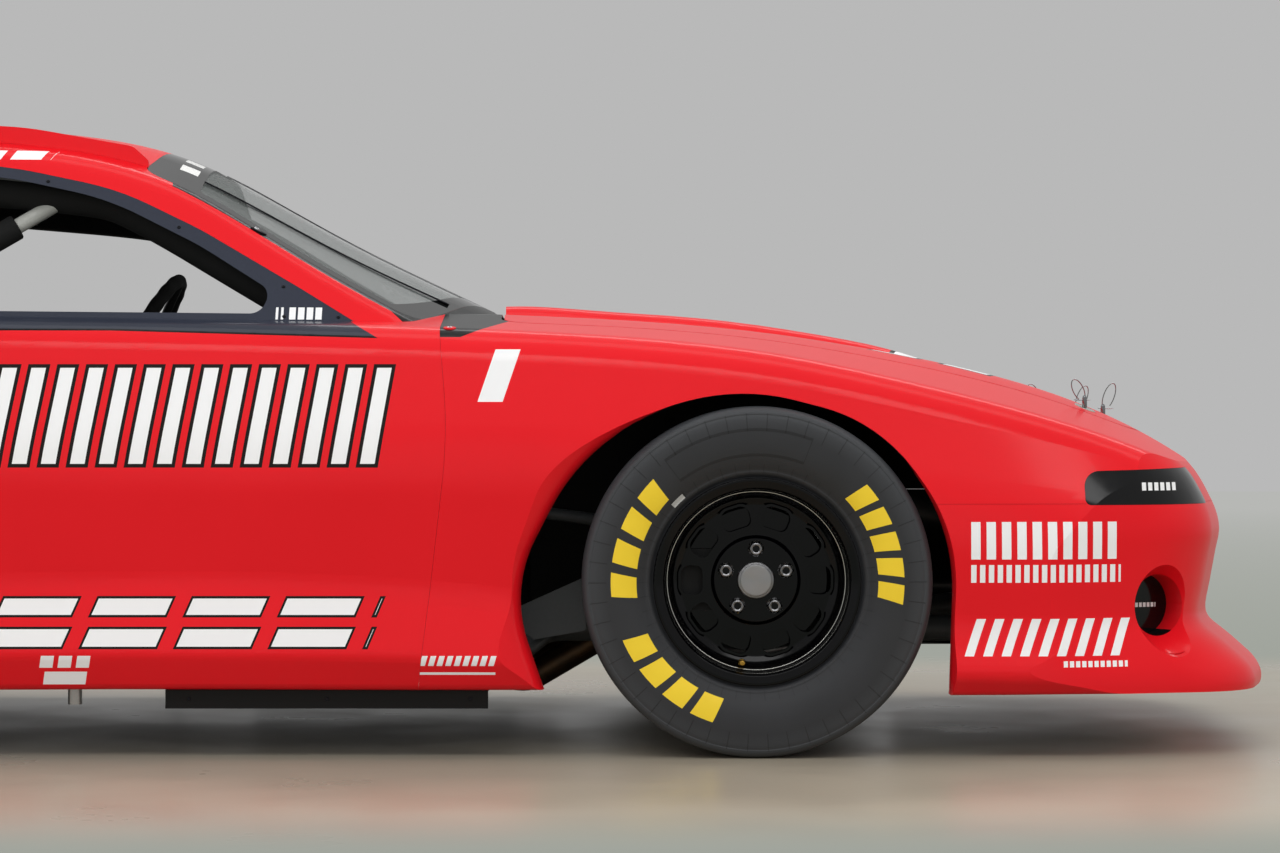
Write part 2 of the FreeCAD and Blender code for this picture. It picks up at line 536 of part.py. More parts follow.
def wheel():
    """A left wheel round the origin: rim, pierced disc, nuts, cap, and the hub and brake rotor behind it."""
    middle, axis, out = (0, 0, 0), (0, 1, 0), (0, 0, 1)
    disc = turned(DISC_PROFILE, middle, axis, out)
    collars, windows = [], []
    for k in range(WINDOWS):
        turn = 360.0 * (k + 0.5) / WINDOWS
        ring = prism(corner_loop(WINDOW, -5), side_view(20), Y_AXIS * 11)
        hole = prism(WINDOW, side_view(-5), Y_AXIS * 60)
        collars.append(ring.rotate(ORIGIN, Y_AXIS, turn))
        windows.append(hole.rotate(ORIGIN, Y_AXIS, turn))
    disc = disc.fuse(collars).cut(windows)
    extras = [turned(RIM_PROFILE, middle, axis, out), turned(HUB_PROFILE, middle, axis, out)]
    radius, low, high = ROTOR
    extras.append(Part.makeCylinder(radius, high - low, V(0, low, 0), Y_AXIS)
                  .cut(Part.makeCylinder(50, high - low + 2, V(0, low - 1, 0), Y_AXIS)))
    for k in range(NUTS):
        angle = 2 * math.pi * k / NUTS
        x, z = NUT_RING_R * math.sin(angle), NUT_RING_R * math.cos(angle)
        hexagon = [(x + NUT_R * math.cos(math.pi * j / 3), z + NUT_R * math.sin(math.pi * j / 3), 0)
                   for j in range(6)]
        extras.append(prism(hexagon, side_view(30), Y_AXIS * 24))
    cap = [(20, 0, 0), (48, 0, 0), (47, CAP_R - 8, 8), (43, CAP_R, 3), (20, CAP_R, 0)]
    bore = Part.makeCylinder(SPINDLE_R + 0.3, 22, V(0, 0, 0), Y_AXIS)
    extras.append(turned(cap, middle, axis, out).cut(bore))
    return disc.fuse(extras)


def at_wheel(shape, axle, side):
    """Puts a piece drawn round the origin for a left wheel at the named wheel."""
    shape = on_side(shape.copy(), side)
    return shape.translate(V(AXLE[axle], SIDES[side] * WHEEL_Y, TYRE_R))


def caliper():
    """A brake caliper behind the axle line of a left wheel at the origin, straddling the rotor."""
    radius, low, high = ROTOR
    inner, outer = CALIPER_R
    bore = Part.makeCylinder(inner, 62, V(0, CALIPER_BACK - 1, 0), Y_AXIS)
    ring = Part.makeCylinder(outer, 60, V(0, CALIPER_BACK, 0), Y_AXIS).cut(bore)
    slot = Part.makeCylinder(radius + 6, high - low + 12, V(0, low - 6, 0), Y_AXIS)
    return ring.common(box(-170, -60, CALIPER_BACK, 20, -62, 62)).cut(slot)


def wheels(nodes):
    """Wheels, tyres and what carries the front ones."""
    one_wheel = wheel()
    one_tyre = turned(TYRE_PROFILE, (0, 0, 0), (0, 1, 0), (0, 0, 1))
    for axle, place in (("F", "front"), ("R", "rear")):
        for side in SIDES:
            nodes["wheel_%s_%s" % (place, side)] = at_wheel(one_wheel, axle, side)
            nodes["tyre_%s_%s" % (place, side)] = at_wheel(one_tyre, axle, side)


# ---- steering and front suspension ---------------------------------------------------------------------
KINGPIN = -80.0           # kingpin axis, outboard of the wheel's centre plane
UPRIGHT_TOP = 140.0       # half height of the upright
PIN_R, PIN_REACH = 10.0, 22.0       # ball studs above and below the upright
ARM_Z = 151.0             # suspension arms above and below the axle
STEER_ARM = (130.0, -55.0)          # end of the steering arm ahead of the axle, height of its top
STEER_ARM_DEPTH = 18.0
LINK = (30.0, 16.0)                 # width and depth of the cross link
PIVOT_X, PIVOT_Y = 85.0, 461.0      # inner pivots of the arms
TOWER = (405.0, 445.0)              # the towers' faces off the centre plane
TOWER_TOP = 560.0


def front_corner(nodes):
    """Knuckles, the link between them, arms and springs."""
    upright = box(-35, 35, KINGPIN - 15, KINGPIN + 15, -UPRIGHT_TOP, UPRIGHT_TOP)
    reach = UPRIGHT_TOP + PIN_REACH
    pins = Part.makeCylinder(PIN_R, 2 * reach, V(0, KINGPIN, -reach), Z_AXIS)
    spindle = Part.makeCylinder(SPINDLE_R, 8 - KINGPIN, V(0, KINGPIN, 0), Y_AXIS)
    flange = Part.makeCylinder(48, 24, V(0, KINGPIN + 10, 0), Y_AXIS)
    bracket = box(-100, 0, KINGPIN + 5, CALIPER_BACK + 1, -40, 40)
    ahead, top = STEER_ARM
    outline = [(0, KINGPIN - 15, 0), (ahead + 14, KINGPIN - 15, 10), (ahead + 14, KINGPIN + 13, 10),
               (0, KINGPIN + 13, 0)]
    arm = prism(outline, plan(top - STEER_ARM_DEPTH), Z_AXIS * STEER_ARM_DEPTH)
    knuckle = joined([upright, pins, spindle, flange, bracket, caliper(), arm])
    for side in SIDES:
        nodes["knuckle_" + side] = at_wheel(knuckle, "F", side)
    width, depth = LINK
    reach, base = WHEEL_Y + KINGPIN + 8, TYRE_R + top + 0.3
    middle = FRONT_X + ahead
    nodes["steering_link"] = box(middle - width / 2, middle + width / 2, -reach, reach, base, base + depth)
    solids = []
    eye_y = WHEEL_Y + KINGPIN
    for sign in (-1, 1):
        z = TYRE_R + sign * ARM_Z
        eye = Part.makeCylinder(20, 20, V(FRONT_X, eye_y, z - 10), Z_AXIS)
        pieces = [eye]
        for x in (FRONT_X - PIVOT_X, FRONT_X + PIVOT_X):
            pieces.append(rod((FRONT_X, eye_y, z), (x, PIVOT_Y, z), 10))
            pieces.append(rod((x - 17, PIVOT_Y, z), (x + 17, PIVOT_Y, z), 15))
        if sign < 0:
            pieces.append(box(FRONT_X - 62, FRONT_X + 62, 500, 550, z - 8, z + 12))
        hole = Part.makeCylinder(PIN_R + 0.3, 60, V(FRONT_X, eye_y, z - 30), Z_AXIS)
        solids.append(joined(pieces).cut(hole))
    solids.append(spring(FRONT_X, 525, TYRE_R - ARM_Z + 12.3, TOWER_TOP - 0.3, 40))
    nodes["front_suspension"] = Part.makeCompound(solids + [mirrored(s) for s in solids])


def spring(x, y, low, high, radius):
    """A coil spring and damper drawn as one ribbed column."""
    turns = 8
    pitch = (high - low - 40) / turns
    corners = [(0, 0, 0), (0, radius, 2), (18, radius, 2)]
    for k in range(turns):
        start = 18 + pitch * k
        corners += [(start + 2, radius - 10, 2), (start + pitch * 0.5, radius - 10, 2),
                    (start + pitch * 0.5 + 2, radius, 4), (start + pitch, radius, 4)]
    corners += [(high - low, radius, 2), (high - low, 0, 0)]
    return turned(corners, (x, y, low), (0, 0, 1), (1, 0, 0))


# ---- frame, cage and cabin -------------------------------------------------------------------------------
RAIL = (680.0, 730.0, 150.0, 222.0)      # main rails: inner and outer face, bottom, top
RAIL_FRONT, RAIL_BACK = FRONT_X - 575.0, FRONT_X - 2230.0
FLOOR_PAN_Z = RAIL[3] + 0.3
PAN_BACK = RAIL_BACK + 34.0              # rear bulkhead, ahead of where the rear clip's tubes turn in
TRUNK_Z = 508.3
OUTRIGGER_Z = FLOOR_Z + SKIN + 0.9
CLIP_TUBE_R = 28.0
OUTRIGGERS = (-720.0, -1362.0, -2130.0)  # stations from F
# Sheet behind the front wheel, in side view, and the brace above it, from the cage's foot to the tower.
WELL_SHEET = [(-571.7, 196), (-345, 236), (-345, 348), (-571.7, 246)]
WELL_SHEET_Y = 556.0
WELL_BRACE = [(-564.4, 560, 520), (-430, 480, 478), (-90, 430, 430)]
JACK = (-1362.0, 846.0, 14.0, 104.0)     # station from F, y, radius, foot height
CAGE_R = 22.0
DOOR_BARS = (340.0, 490.0, 640.0)        # heights of the bars behind each door panel
PAD_R = 38.0
SEAT_Y, WHEEL_HUB_Y = 396.0, 380.0       # middle of the seat and of the steering wheel
CAGE_FOOT = RAIL[3] + 0.3


def frame(nodes):
    """Main rails, front and rear clips, cross members, towers and the jack posts."""
    inner, outer_y, low, high = RAIL
    side = [box(RAIL_BACK, RAIL_FRONT, inner, outer_y, low, high)]
    side.append(bent_tube([(FRONT_X - 590, 705, 186), (FRONT_X - 480, 560, 200), (FRONT_X - 430, 425, 235),
                           (FRONT_X + 430, 425, 235), (FRONT_X + 860, 390, 300)], CLIP_TUBE_R, 60))
    side.append(bent_tube([(RAIL_BACK + 20, 705, 186), (REAR_X + 400, 545, 300), (REAR_X + 250, 500, 480),
                           (REAR_X - 250, 500, 480), (REAR_X - 450, 490, 330), (REAR_X - 880, 470, 330)],
                          CLIP_TUBE_R, 60))
    for station in OUTRIGGERS:
        side.append(box(FRONT_X + station - 25, FRONT_X + station + 25, outer_y - 10, 880, OUTRIGGER_Z, 172))
    side.append(box(FRONT_X - 105, FRONT_X + 105, TOWER[0], TOWER[1], 170, TOWER_TOP))
    side.append(prism([(FRONT_X + a, b, 8) for a, b in WELL_SHEET], side_view(WELL_SHEET_Y), Y_AXIS * 4))
    side.append(bent_tube([(FRONT_X + a, y, z) for a, y, z in WELL_BRACE], 13, 60))
    side.append(box(FRONT_X - 60, FRONT_X + 60, TOWER[0], 570, TOWER_TOP, TOWER_TOP + 12))
    middle = [box(FRONT_X + u - 25, FRONT_X + u + 25, -inner - 10, inner + 10, high - 50, high)
              for u in (-600, -1350, -2205)]
    _, mouth_low, mouth_high, liner_back = INTAKE
    x0, x1 = FRONT_X + 840, FRONT_X + liner_back - 0.3
    middle += [box(x0, x1, -420, 420, z, z + 18) for z in (mouth_low - 14, mouth_high - 4)]
    middle += [box(x0, x1, y - 12, y + 12, mouth_low - 14, mouth_high + 10) for y in (-405, 405)]
    middle += [rod((FRONT_X + u, -410, z), (FRONT_X + u, 410, z), 20) for u, z in ((300, 235), (520, 248))]
    middle += [rod((REAR_X + u, -490, z), (REAR_X + u, 490, z), 20) for u, z in ((-310, 440), (-870, 330))]
    nodes["frame"] = joined(side + [mirrored(s) for s in side] + middle)
    u, y, radius, foot = JACK
    post = rod((FRONT_X + u, y, foot), (FRONT_X + u, y, OUTRIGGER_Z), radius)
    nodes["jack_posts"] = Part.makeCompound([post, mirrored(post)])


def cage(nodes):
    """Roll cage on the main rails, with padding near the driver's head."""
    foot, roof = CAGE_FOOT - 15, 1200.0
    hoop_x, header_x, pillar_x = FRONT_X - 1990, FRONT_X - 1310, FRONT_X - 665
    left = [(hoop_x, 706, foot), (hoop_x, 690, 800), (hoop_x, 520, roof)]
    hoop = bent_tube(left + [(x, -y, z) for x, y, z in reversed(left)], CAGE_R, 140)
    pillar = [(pillar_x, 706, foot), (pillar_x, 690, 770), (header_x, 522, 1150), (hoop_x, 505, roof)]
    side = [bent_tube(pillar, CAGE_R, 130)]
    for z in DOOR_BARS:
        bar = [(pillar_x, 704, z), (FRONT_X - 900, 800, z), (FRONT_X - 1750, 800, z), (hoop_x, 700, z)]
        side.append(bent_tube(bar, CAGE_R - 3, 90))
    side.append(rod((hoop_x, 500, roof - 10), (REAR_X - 170, 500, TRUNK_Z - 13), CAGE_R))
    middle = [rod((header_x, -522, 1150), (header_x, 522, 1150), CAGE_R),
              rod((FRONT_X - 760, -672, 791.7), (FRONT_X - 760, 672, 791.7), CAGE_R),
              rod((hoop_x, -690, 700), (hoop_x, 690, 700), CAGE_R),
              rod((pillar_x, 690, 780), (FRONT_X - 760, 672, 791.7), CAGE_R),
              rod((pillar_x, -690, 780), (FRONT_X - 760, -672, 791.7), CAGE_R)]
    x, y = FRONT_X, HOOD_HINGE[2] + 12
    plate = prism([(x - 760, 775, 0), (x - 760, 800, 0), (x - 705, 800, 10), (x - 655, 910, 8),
                   (x - 625, 910, 8), (x - 625, 880, 8), (x - 680, 775, 10)], side_view(y), Y_AXIS * 6)
    hinges = [plate, hinge_pin(HOOD_HINGE)]
    below = [box(-BIG, BIG, -BIG, BIG, 0, CAGE_FOOT), box(-BIG, RAIL_BACK, -BIG, BIG, 0, TRUNK_Z + 3.3)]
    left_side = side + hinges
    cage_bars = joined([hoop] + middle + left_side + [mirrored(s) for s in left_side])
    nodes["roll_cage"] = cage_bars.cut(below)
    start, end = V(header_x - 120, 519, 1159), V(hoop_x + 160, 509, 1188)
    length, along = (end - start).Length, (end - start).normalize()
    pad = Part.makeCylinder(PAD_R, length, start, along)
    core = Part.makeCylinder(CAGE_R + 0.3, length + 200, start - along * 100, along)
    nodes["cage_padding"] = pad.cut(core)


def cabin(nodes):
    """Sheet floor, tunnel, bulkheads, seat, dashboard and steering wheel."""
    low = FLOOR_PAN_Z
    floor = box(PAN_BACK, RAIL_FRONT, -660, 660, low, low + 3)
    tunnel = box(PAN_BACK, RAIL_FRONT, -150, 150, low, 430)
    firewall = box(RAIL_FRONT, RAIL_FRONT + 3, -660, 660, low, 750)
    bulkhead = box(PAN_BACK, PAN_BACK + 3, -590, 590, low, TRUNK_Z + 3)
    trunk = box(REAR_X - 880, PAN_BACK + 3, -590, 590, TRUNK_Z, TRUNK_Z + 3)
    _, station, y, z, _ = LID_HINGE
    posts = []
    for sign in (-1, 1):
        post_y = sign * (y + 24)
        posts.append(rod((REAR_X + station, post_y, TRUNK_Z), (REAR_X + station, post_y, z + 12), 10))
    pins = [hinge_pin(LID_HINGE), mirrored(hinge_pin(LID_HINGE))]
    pan = joined([floor, tunnel, firewall, bulkhead, trunk] + posts + pins)
    nodes["floor_pan"] = pan.cut(box(RAIL_BACK - 10, RAIL_FRONT + 10, -147, 147, 0, 427))

    x, y = FRONT_X, SEAT_Y
    shell = [(x - 1500, 290, 15), (x - 1500, 345, 20), (x - 1875, 310, 60), (x - 1922, 880, 40),
             (x - 1956, 885, 20), (x - 1925, 255, 60)]
    wing = [(x - 1535, 262, 20), (x - 1530, 420, 50), (x - 1760, 470, 90), (x - 1820, 820, 60),
            (x - 1960, 860, 40), (x - 1935, 240, 60)]
    seat = [prism(shell, side_view(y - 225), Y_AXIS * 450)]
    seat += [prism(wing, side_view(y + d), Y_AXIS * 20) for d in (-240, 220)]
    for u in (x - 1580, x - 1860):
        seat += [rod((u, y + d, low + 3.3), (u, y + d, 300), 15) for d in (-180, 180)]
    nodes["seat"] = joined(seat)

    y, tilt = WHEEL_HUB_Y, math.radians(31)
    column, centre = V(math.cos(tilt), 0, -math.sin(tilt)), V(x - 1391, y, 850)
    sheet = prism([(x - 715, 814, 0), (x - 715, 818, 0), (x - 880, 818, 24), (x - 930, 680, 0),
                   (x - 926, 679, 0), (x - 877, 814, 20)], side_view(-600), Y_AXIS * 1200)
    start, end = centre + column * 70, centre + column * 560
    brace = rod((x - 990, y, 850 - (1391 - 990) * math.tan(tilt)), (x - 868, y, 817), 12)
    nodes["dashboard"] = joined([sheet, rod(tuple(start), tuple(end), 20), brace])
    rim = Part.makeTorus(170, 15, centre, column)
    across = V(0, 1, 0)
    down = across.cross(column)
    hub = Part.makeCylinder(38, 60, centre + column * 9.7, column)
    spokes = []
    for angle in (0, 120, 240):
        toward = across * math.sin(math.radians(angle)) - down * math.cos(math.radians(angle))
        spokes.append(Part.makeCylinder(9, 168, centre + column * 22, toward - column * 0.1))
    nodes["steering_wheel"] = joined([rim, hub] + spokes)


def driveline(nodes):
    """Engine, exhaust, fuel cell, rear axle and its links."""
    block = box(FRONT_X - 470, FRONT_X + 100, -230, 230, 215, 720)
    gearbox = box(FRONT_X - 950, FRONT_X - 470, -110, 110, 240, 400)
    mounts = [rod((FRONT_X - 150, s * 200, 235), (FRONT_X - 150, s * 396.7, 235), 22) for s in (-1, 1)]
    nodes["engine_block"] = joined([block, gearbox] + mounts)
    z, radius = RAIL[3] - 50 - 30 - 0.3, 30.0
    pipes = []
    for y, exit_u in ((-315, -2090), (315, -1990)):
        path = [(FRONT_X - 200, y / 315 * 230.3, 280), (FRONT_X - 200, y, 280), (FRONT_X - 470, y, z - 20),
                (FRONT_X - 640, y, z), (FRONT_X + exit_u + 60, y, z), (FRONT_X + exit_u, -560, 98),
                (FRONT_X + exit_u, -915, 98)]
        pipe = bent_tube(path, radius, 60)
        pipes.append(pipe.cut(rod((FRONT_X + exit_u, -760, 98), (FRONT_X + exit_u, -920, 98), 27)))
    nodes["exhaust"] = Part.makeCompound(pipes)
    nodes["fuel_cell"] = box(REAR_X - 840, REAR_X - 480, -330, 330, 225, TRUNK_Z - 0.3)
    centre = V(REAR_X, 0, TYRE_R)
    tube_end = WHEEL_Y - 66
    axle = [rod((REAR_X, -tube_end, TYRE_R), (REAR_X, tube_end, TYRE_R), 45), Part.makeSphere(138, centre),
            rod((REAR_X, -WHEEL_Y - 8, TYRE_R), (REAR_X, WHEEL_Y + 8, TYRE_R), SPINDLE_R),
            rod((FRONT_X - 951, 0, 320), (REAR_X + 100, 0, TYRE_R), 38)]
    flange = box(-100, 0, CALIPER_BACK - 12, CALIPER_BACK + 1, -40, 40)
    for side in SIDES:
        axle += [at_wheel(flange, "R", side), at_wheel(caliper(), "R", side)]
    nodes["rear_axle"] = joined(axle)
    links = []
    front, back = V(RAIL_BACK - 20.3, 350, 197), V(REAR_X + 65.3, 350, TYRE_R)
    links.append(joined([rod(tuple(front), tuple(back), 16),
                         rod((front.x, 325, front.z), (front.x, 375, front.z), 20),
                         rod((back.x, 325, back.z), (back.x, 375, back.z), 20)]))
    links.append(spring(REAR_X, 420, TYRE_R + 45.3, TRUNK_Z - 0.3, 45))
    nodes["rear_suspension"] = Part.makeCompound(links + [mirrored(s) for s in links])


# ---- small outside pieces ----------------------------------------------------------------------------------
ROOF_STRIP = [(-1262, 1150, 2), (-1262, 1216, 12), (-1295, 1246, 30), (-1520, 1286, 700), (-1900, 1303, 900),
              (-2367, 1270, 700), (-2560, 1205, 40), (-2560, 1120, 2)]
SPOILER = [(-962, 860, 2), (-962, 966, 2), (-1000, 970, 4), (-1056, 1066, 2), (-1060, 1063, 2), (-1006, 964, 6),
           (-1010, 860, 2)]
SPOILER_WIDTH = 632.0


def trim(nodes, lower, upper):
    """Roof strips, spoiler and side skirts; lower and upper are the closed forms of body and greenhouse."""
    strip = prism([(FRONT_X + a, b, r) for a, b, r in ROOF_STRIP], side_view(477), Y_AXIS * 6)
    strip = strip.cut(upper)
    nodes["roof_rails"] = Part.makeCompound([strip, mirrored(strip)])
    blade = prism([(REAR_X + a, b, r) for a, b, r in SPOILER], side_view(0), Y_AXIS * SPOILER_WIDTH).cut(lower)
    nodes["spoiler"] = whole(blade)
    x0, x1 = FRONT_X - 1177, FRONT_X - 535
    skirt = box(x0, x1, 880, 884, 98, FLOOR_Z - 0.3).fuse(box(x0, x1, 850, 884, FLOOR_Z - 4.3, FLOOR_Z - 0.3))
    skirt = skirt.removeSplitter()
    nodes["side_skirts"] = Part.makeCompound([skirt, mirrored(skirt)])


def main():
    """Builds every node and writes one STEP file each."""
    nodes = {}
    lower, upper = body_panels(nodes)
    trim(nodes, lower, upper)
    wheels(nodes)
    front_corner(nodes)
    frame(nodes)
    cage(nodes)
    cabin(nodes)
    driveline(nodes)
    os.makedirs("parts", exist_ok=True)
    for name, shape in nodes.items():
        shape.exportStep(os.path.join("parts", name + ".step"))


if __name__ == "__main__":
    main()
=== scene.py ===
"""Looks of the oval-track stock car: paint, glass, rubber and metal finishes, and the small fittings on the body.

Row frame in metres: +X forwards, +Y to the driver's left, +Z up, the floor at z = 0. Stations along the car are
given from the front axle, positive forwards, as in the part's own source.
"""
import bpy
import json
import math
import numpy as np
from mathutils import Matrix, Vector


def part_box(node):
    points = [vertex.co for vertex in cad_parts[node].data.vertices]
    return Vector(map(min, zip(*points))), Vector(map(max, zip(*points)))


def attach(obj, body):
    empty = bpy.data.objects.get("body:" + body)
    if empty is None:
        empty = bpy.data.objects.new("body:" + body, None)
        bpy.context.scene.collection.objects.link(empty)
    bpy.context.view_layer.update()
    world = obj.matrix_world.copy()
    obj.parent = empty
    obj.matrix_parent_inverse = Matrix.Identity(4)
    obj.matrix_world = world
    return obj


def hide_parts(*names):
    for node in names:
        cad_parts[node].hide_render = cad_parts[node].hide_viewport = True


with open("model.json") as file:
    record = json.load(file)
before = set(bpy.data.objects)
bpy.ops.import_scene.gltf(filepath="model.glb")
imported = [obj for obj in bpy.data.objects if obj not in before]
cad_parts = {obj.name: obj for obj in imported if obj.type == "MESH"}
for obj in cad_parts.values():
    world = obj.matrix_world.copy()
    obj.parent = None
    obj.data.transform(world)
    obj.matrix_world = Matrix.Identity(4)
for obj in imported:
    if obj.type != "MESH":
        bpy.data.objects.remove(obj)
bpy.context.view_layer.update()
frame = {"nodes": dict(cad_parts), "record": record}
NODES = frame["nodes"]


# ---- places, in metres ----
FRONT_AXLE = np.mean(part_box("tyre_front_right"), axis=0)
REAR_AXLE = np.mean(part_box("tyre_rear_right"), axis=0)
FX = FRONT_AXLE[0]
WHEEL_Y = -FRONT_AXLE[1]
AXLE_X = {"front": FRONT_AXLE[0], "rear": REAR_AXLE[0]}
TYRE_R = 0.350
SIDES = {"right": -1.0, "left": 1.0}
AHEAD, UP = (1.0, 0.0, 0.0), (0.0, 0.0, 1.0)
DOWN = (0.0, 0.0, -1.0)
ABOVE, ASIDE = 1.6, 1.4  # a height over the whole car and a distance out from its middle, for lines onto its skin
# The windshield's outline in plan: PANE_HALF to either side at one station, wider by PANE_SPREAD per metre ahead
# of it; its top edge is at PANE_TOP on the middle line and further ahead by PANE_BOW per metre outwards.
PANE_STATION, PANE_HALF, PANE_SPREAD = -0.684, 0.672, 0.2346
PANE_TOP, PANE_BOW = -1.226, 0.0785


# ---- shader tools ----
def linear(code):
    """Turns an sRGB hex colour into the linear colour that a shader takes."""
    parts = [int(code[i:i + 2], 16) / 255 for i in (1, 3, 5)]
    return tuple(p / 12.92 if p <= 0.04045 else ((p + 0.055) / 1.055) ** 2.4 for p in parts) + (1.0,)


def feed(tree, node, values):
    """Gives a node its values, by attribute or by input name or number.

    A hex colour among them is made linear, and a node's first output or a socket is linked.
    """
    for key, value in values.items():
        if isinstance(value, str) and value.startswith("#"):
            value = linear(value)
        if isinstance(value, bpy.types.Node):
            value = value.outputs[0]
        if isinstance(value, bpy.types.NodeSocket):
            tree.links.new(value, node.inputs[key])
        elif isinstance(key, int) or key in node.inputs:
            node.inputs[key].default_value = value
        else:
            setattr(node, key, value)


def add(tree, kind, *inputs):
    """Adds one shader node, whose inputs are given in order or as one dict for feed().

    Kind is the node's type without "ShaderNode"; a word in capitals alone is the operation of a math node.
    """
    node = tree.nodes.new("ShaderNodeMath" if kind.isupper() else "ShaderNode" + kind)
    if kind.isupper():
        node.operation = kind
    feed(tree, node, inputs[0] if inputs and isinstance(inputs[0], dict) else dict(enumerate(inputs)))
    return node


def material(name, values):
    """A material with one principled shader that has these values, and its tree, which wire() feeds."""
    mat = bpy.data.materials.new(name)
    mat.use_nodes = True
    wire(mat.node_tree, values)
    return mat, mat.node_tree


def wire(tree, values):
    """Gives the material's principled shader values or links."""
    feed(tree, tree.nodes["Principled BSDF"], values)


def spot_of(tree):
    """Object coordinates in metres, whole and split into x, y and z."""
    spot = add(tree, "TexCoord").outputs["Object"]
    parts = add(tree, "SeparateXYZ", spot)
    return spot, parts.outputs[0], parts.outputs[1], parts.outputs[2]


def block_row(tree, along, height, row, rim=0.0):
    """Mask of a row of slanted blocks, each grown by rim.

    A place lies in a block where (along - slant * height), counted from the row's start, falls in the filled
    part of its pitch, and the height and the place along the row are within the row's limits.
    """
    start, end, low, high, pitch, filled, slant = row
    half = (end - start) / 2 + rim
    lean = add(tree, "MULTIPLY_ADD", height, -slant, along)
    run = add(tree, "SUBTRACT", lean, start - slant * low - rim)
    phase = add(tree, "FLOORED_MODULO", run, pitch)
    inside = add(tree, "LESS_THAN", phase, filled + 2 * rim)
    tall = add(tree, "COMPARE", height, (low + high) / 2, (high - low) / 2 + rim)
    wide = add(tree, "COMPARE", run, half, half)
    both = add(tree, "MULTIPLY", inside, tall)
    return add(tree, "MULTIPLY", both, wide)


def marks(tree, colour, rows, x, y, z):
    """Lays rows of white vinyl blocks, some with a dark rim, over a colour.

    A row is (plane, limits, rim): the plane names the two coordinates that its blocks are drawn in, and the
    limits begin with two stations, or on the front with two distances from the middle.
    """
    out = add(tree, "ABSOLUTE", y)
    planes = {"side": (x, z), "plan": (x, y), "front": (out, z)}
    for plane, limits, rim in rows:
        along, height = planes[plane]
        if plane != "front":
            limits = (limits[0] + FX, limits[1] + FX) + limits[2:]
        if rim:
            edge = block_row(tree, along, height, limits, rim)
            colour = add(tree, "MixRGB", edge, colour, "#17110F")
        block = block_row(tree, along, height, limits)
        colour = add(tree, "MixRGB", block, colour, "#E6E6E7")
    return colour


# ---- surface tools ----
def grid_faces(rows, cols, shut=False):
    """Quads of a grid of points whose columns go round; with shut, its rows do as well."""
    i, j = np.meshgrid(np.arange(rows if shut else rows - 1), np.arange(cols), indexing="ij")
    i2, j2 = (i + 1) % rows, (j + 1) % cols
    return np.stack([i * cols + j, i2 * cols + j, i2 * cols + j2, i * cols + j2], -1).reshape(-1, 4)


def copies(points, faces):
    """Faces for many copies of one mesh, from an array of shape (copies, points, 3)."""
    count, size = points.shape[:2]
    return (faces[None] + np.arange(count)[:, None, None] * size).reshape(-1, faces.shape[1])


def skin_piece(name, points, faces, finish, body="chassis", place=None, crease=35.0):
    """Puts points and quads into a mesh object that rides on a body.

    Doubles are merged, quads are cut into triangles, collapsed ones dropped, and the shell is turned outwards,
    which is where the sum over its triangles of a . (b x c) is positive. place is stored as the attribute
    wheel_place, for patterns that follow the surface.
    """
    points = np.asarray(points, float).reshape(-1, 3)
    _, first, index = np.unique(np.round(points, 6), axis=0, return_index=True, return_inverse=True)
    quads = index.reshape(-1)[faces]
    tris = np.concatenate([quads[:, [0, 1, 2]], quads[:, [0, 2, 3]]])
    a, b, c = tris.T
    tris = tris[(a != b) & (b != c) & (a != c)]
    corners = points[first][tris]
    volume = np.einsum("ij,ij->i", corners[:, 0], np.cross(corners[:, 1], corners[:, 2])).sum()
    if volume < 0:
        tris = tris[:, ::-1]
    mesh = bpy.data.meshes.new(name)
    mesh.from_pydata(points[first].tolist(), [], tris.tolist())
    if place is not None:
        layer = mesh.attributes.new("wheel_place", "FLOAT_VECTOR", "POINT")
        layer.data.foreach_set("vector", np.asarray(place, float).reshape(-1, 3)[first].ravel())
    mesh.polygons.foreach_set("use_smooth", np.ones(len(mesh.polygons), bool))
    mesh.set_sharp_from_angle(angle=math.radians(crease))
    mesh.materials.append(finish)
    piece = bpy.data.objects.new(name, mesh)
    bpy.context.scene.collection.objects.link(piece)
    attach(piece, body)
    return piece


def basis(axis, near):
    """Two unit vectors square to each axis, for arrays of axes; the second lies nearest to the given direction."""
    axis = np.atleast_2d(np.asarray(axis, float))
    axis = axis / np.linalg.norm(axis, axis=1, keepdims=True)
    across = np.cross(np.broadcast_to(np.asarray(near, float), axis.shape), axis)
    across /= np.linalg.norm(across, axis=1, keepdims=True)
    return across, np.cross(axis, across), axis


def lathe(profile, steps, hexed=None):
    """Local points of a turned form: each (along, radius) row swept round, as (a, b, along).

    hexed gives each row's share of a hexagon: its radius is then divided by the cosine of the angle from the
    nearest flat's middle, scaled so that the corners keep the radius.
    """
    profile = np.asarray(profile, float)
    turn = np.linspace(0, 2 * math.pi, steps, endpoint=False)
    radius = np.repeat(profile[:, 1:2], steps, 1)
    if hexed is not None:
        flat = math.cos(math.pi / 6) / np.cos(turn % (math.pi / 3) - math.pi / 6)
        share = np.asarray(hexed, float)[:, None]
        radius = radius * (1 - share + share * flat)
    along = np.repeat(profile[:, 0:1], steps, 1)
    return np.stack([radius * np.cos(turn), radius * np.sin(turn), along], -1)


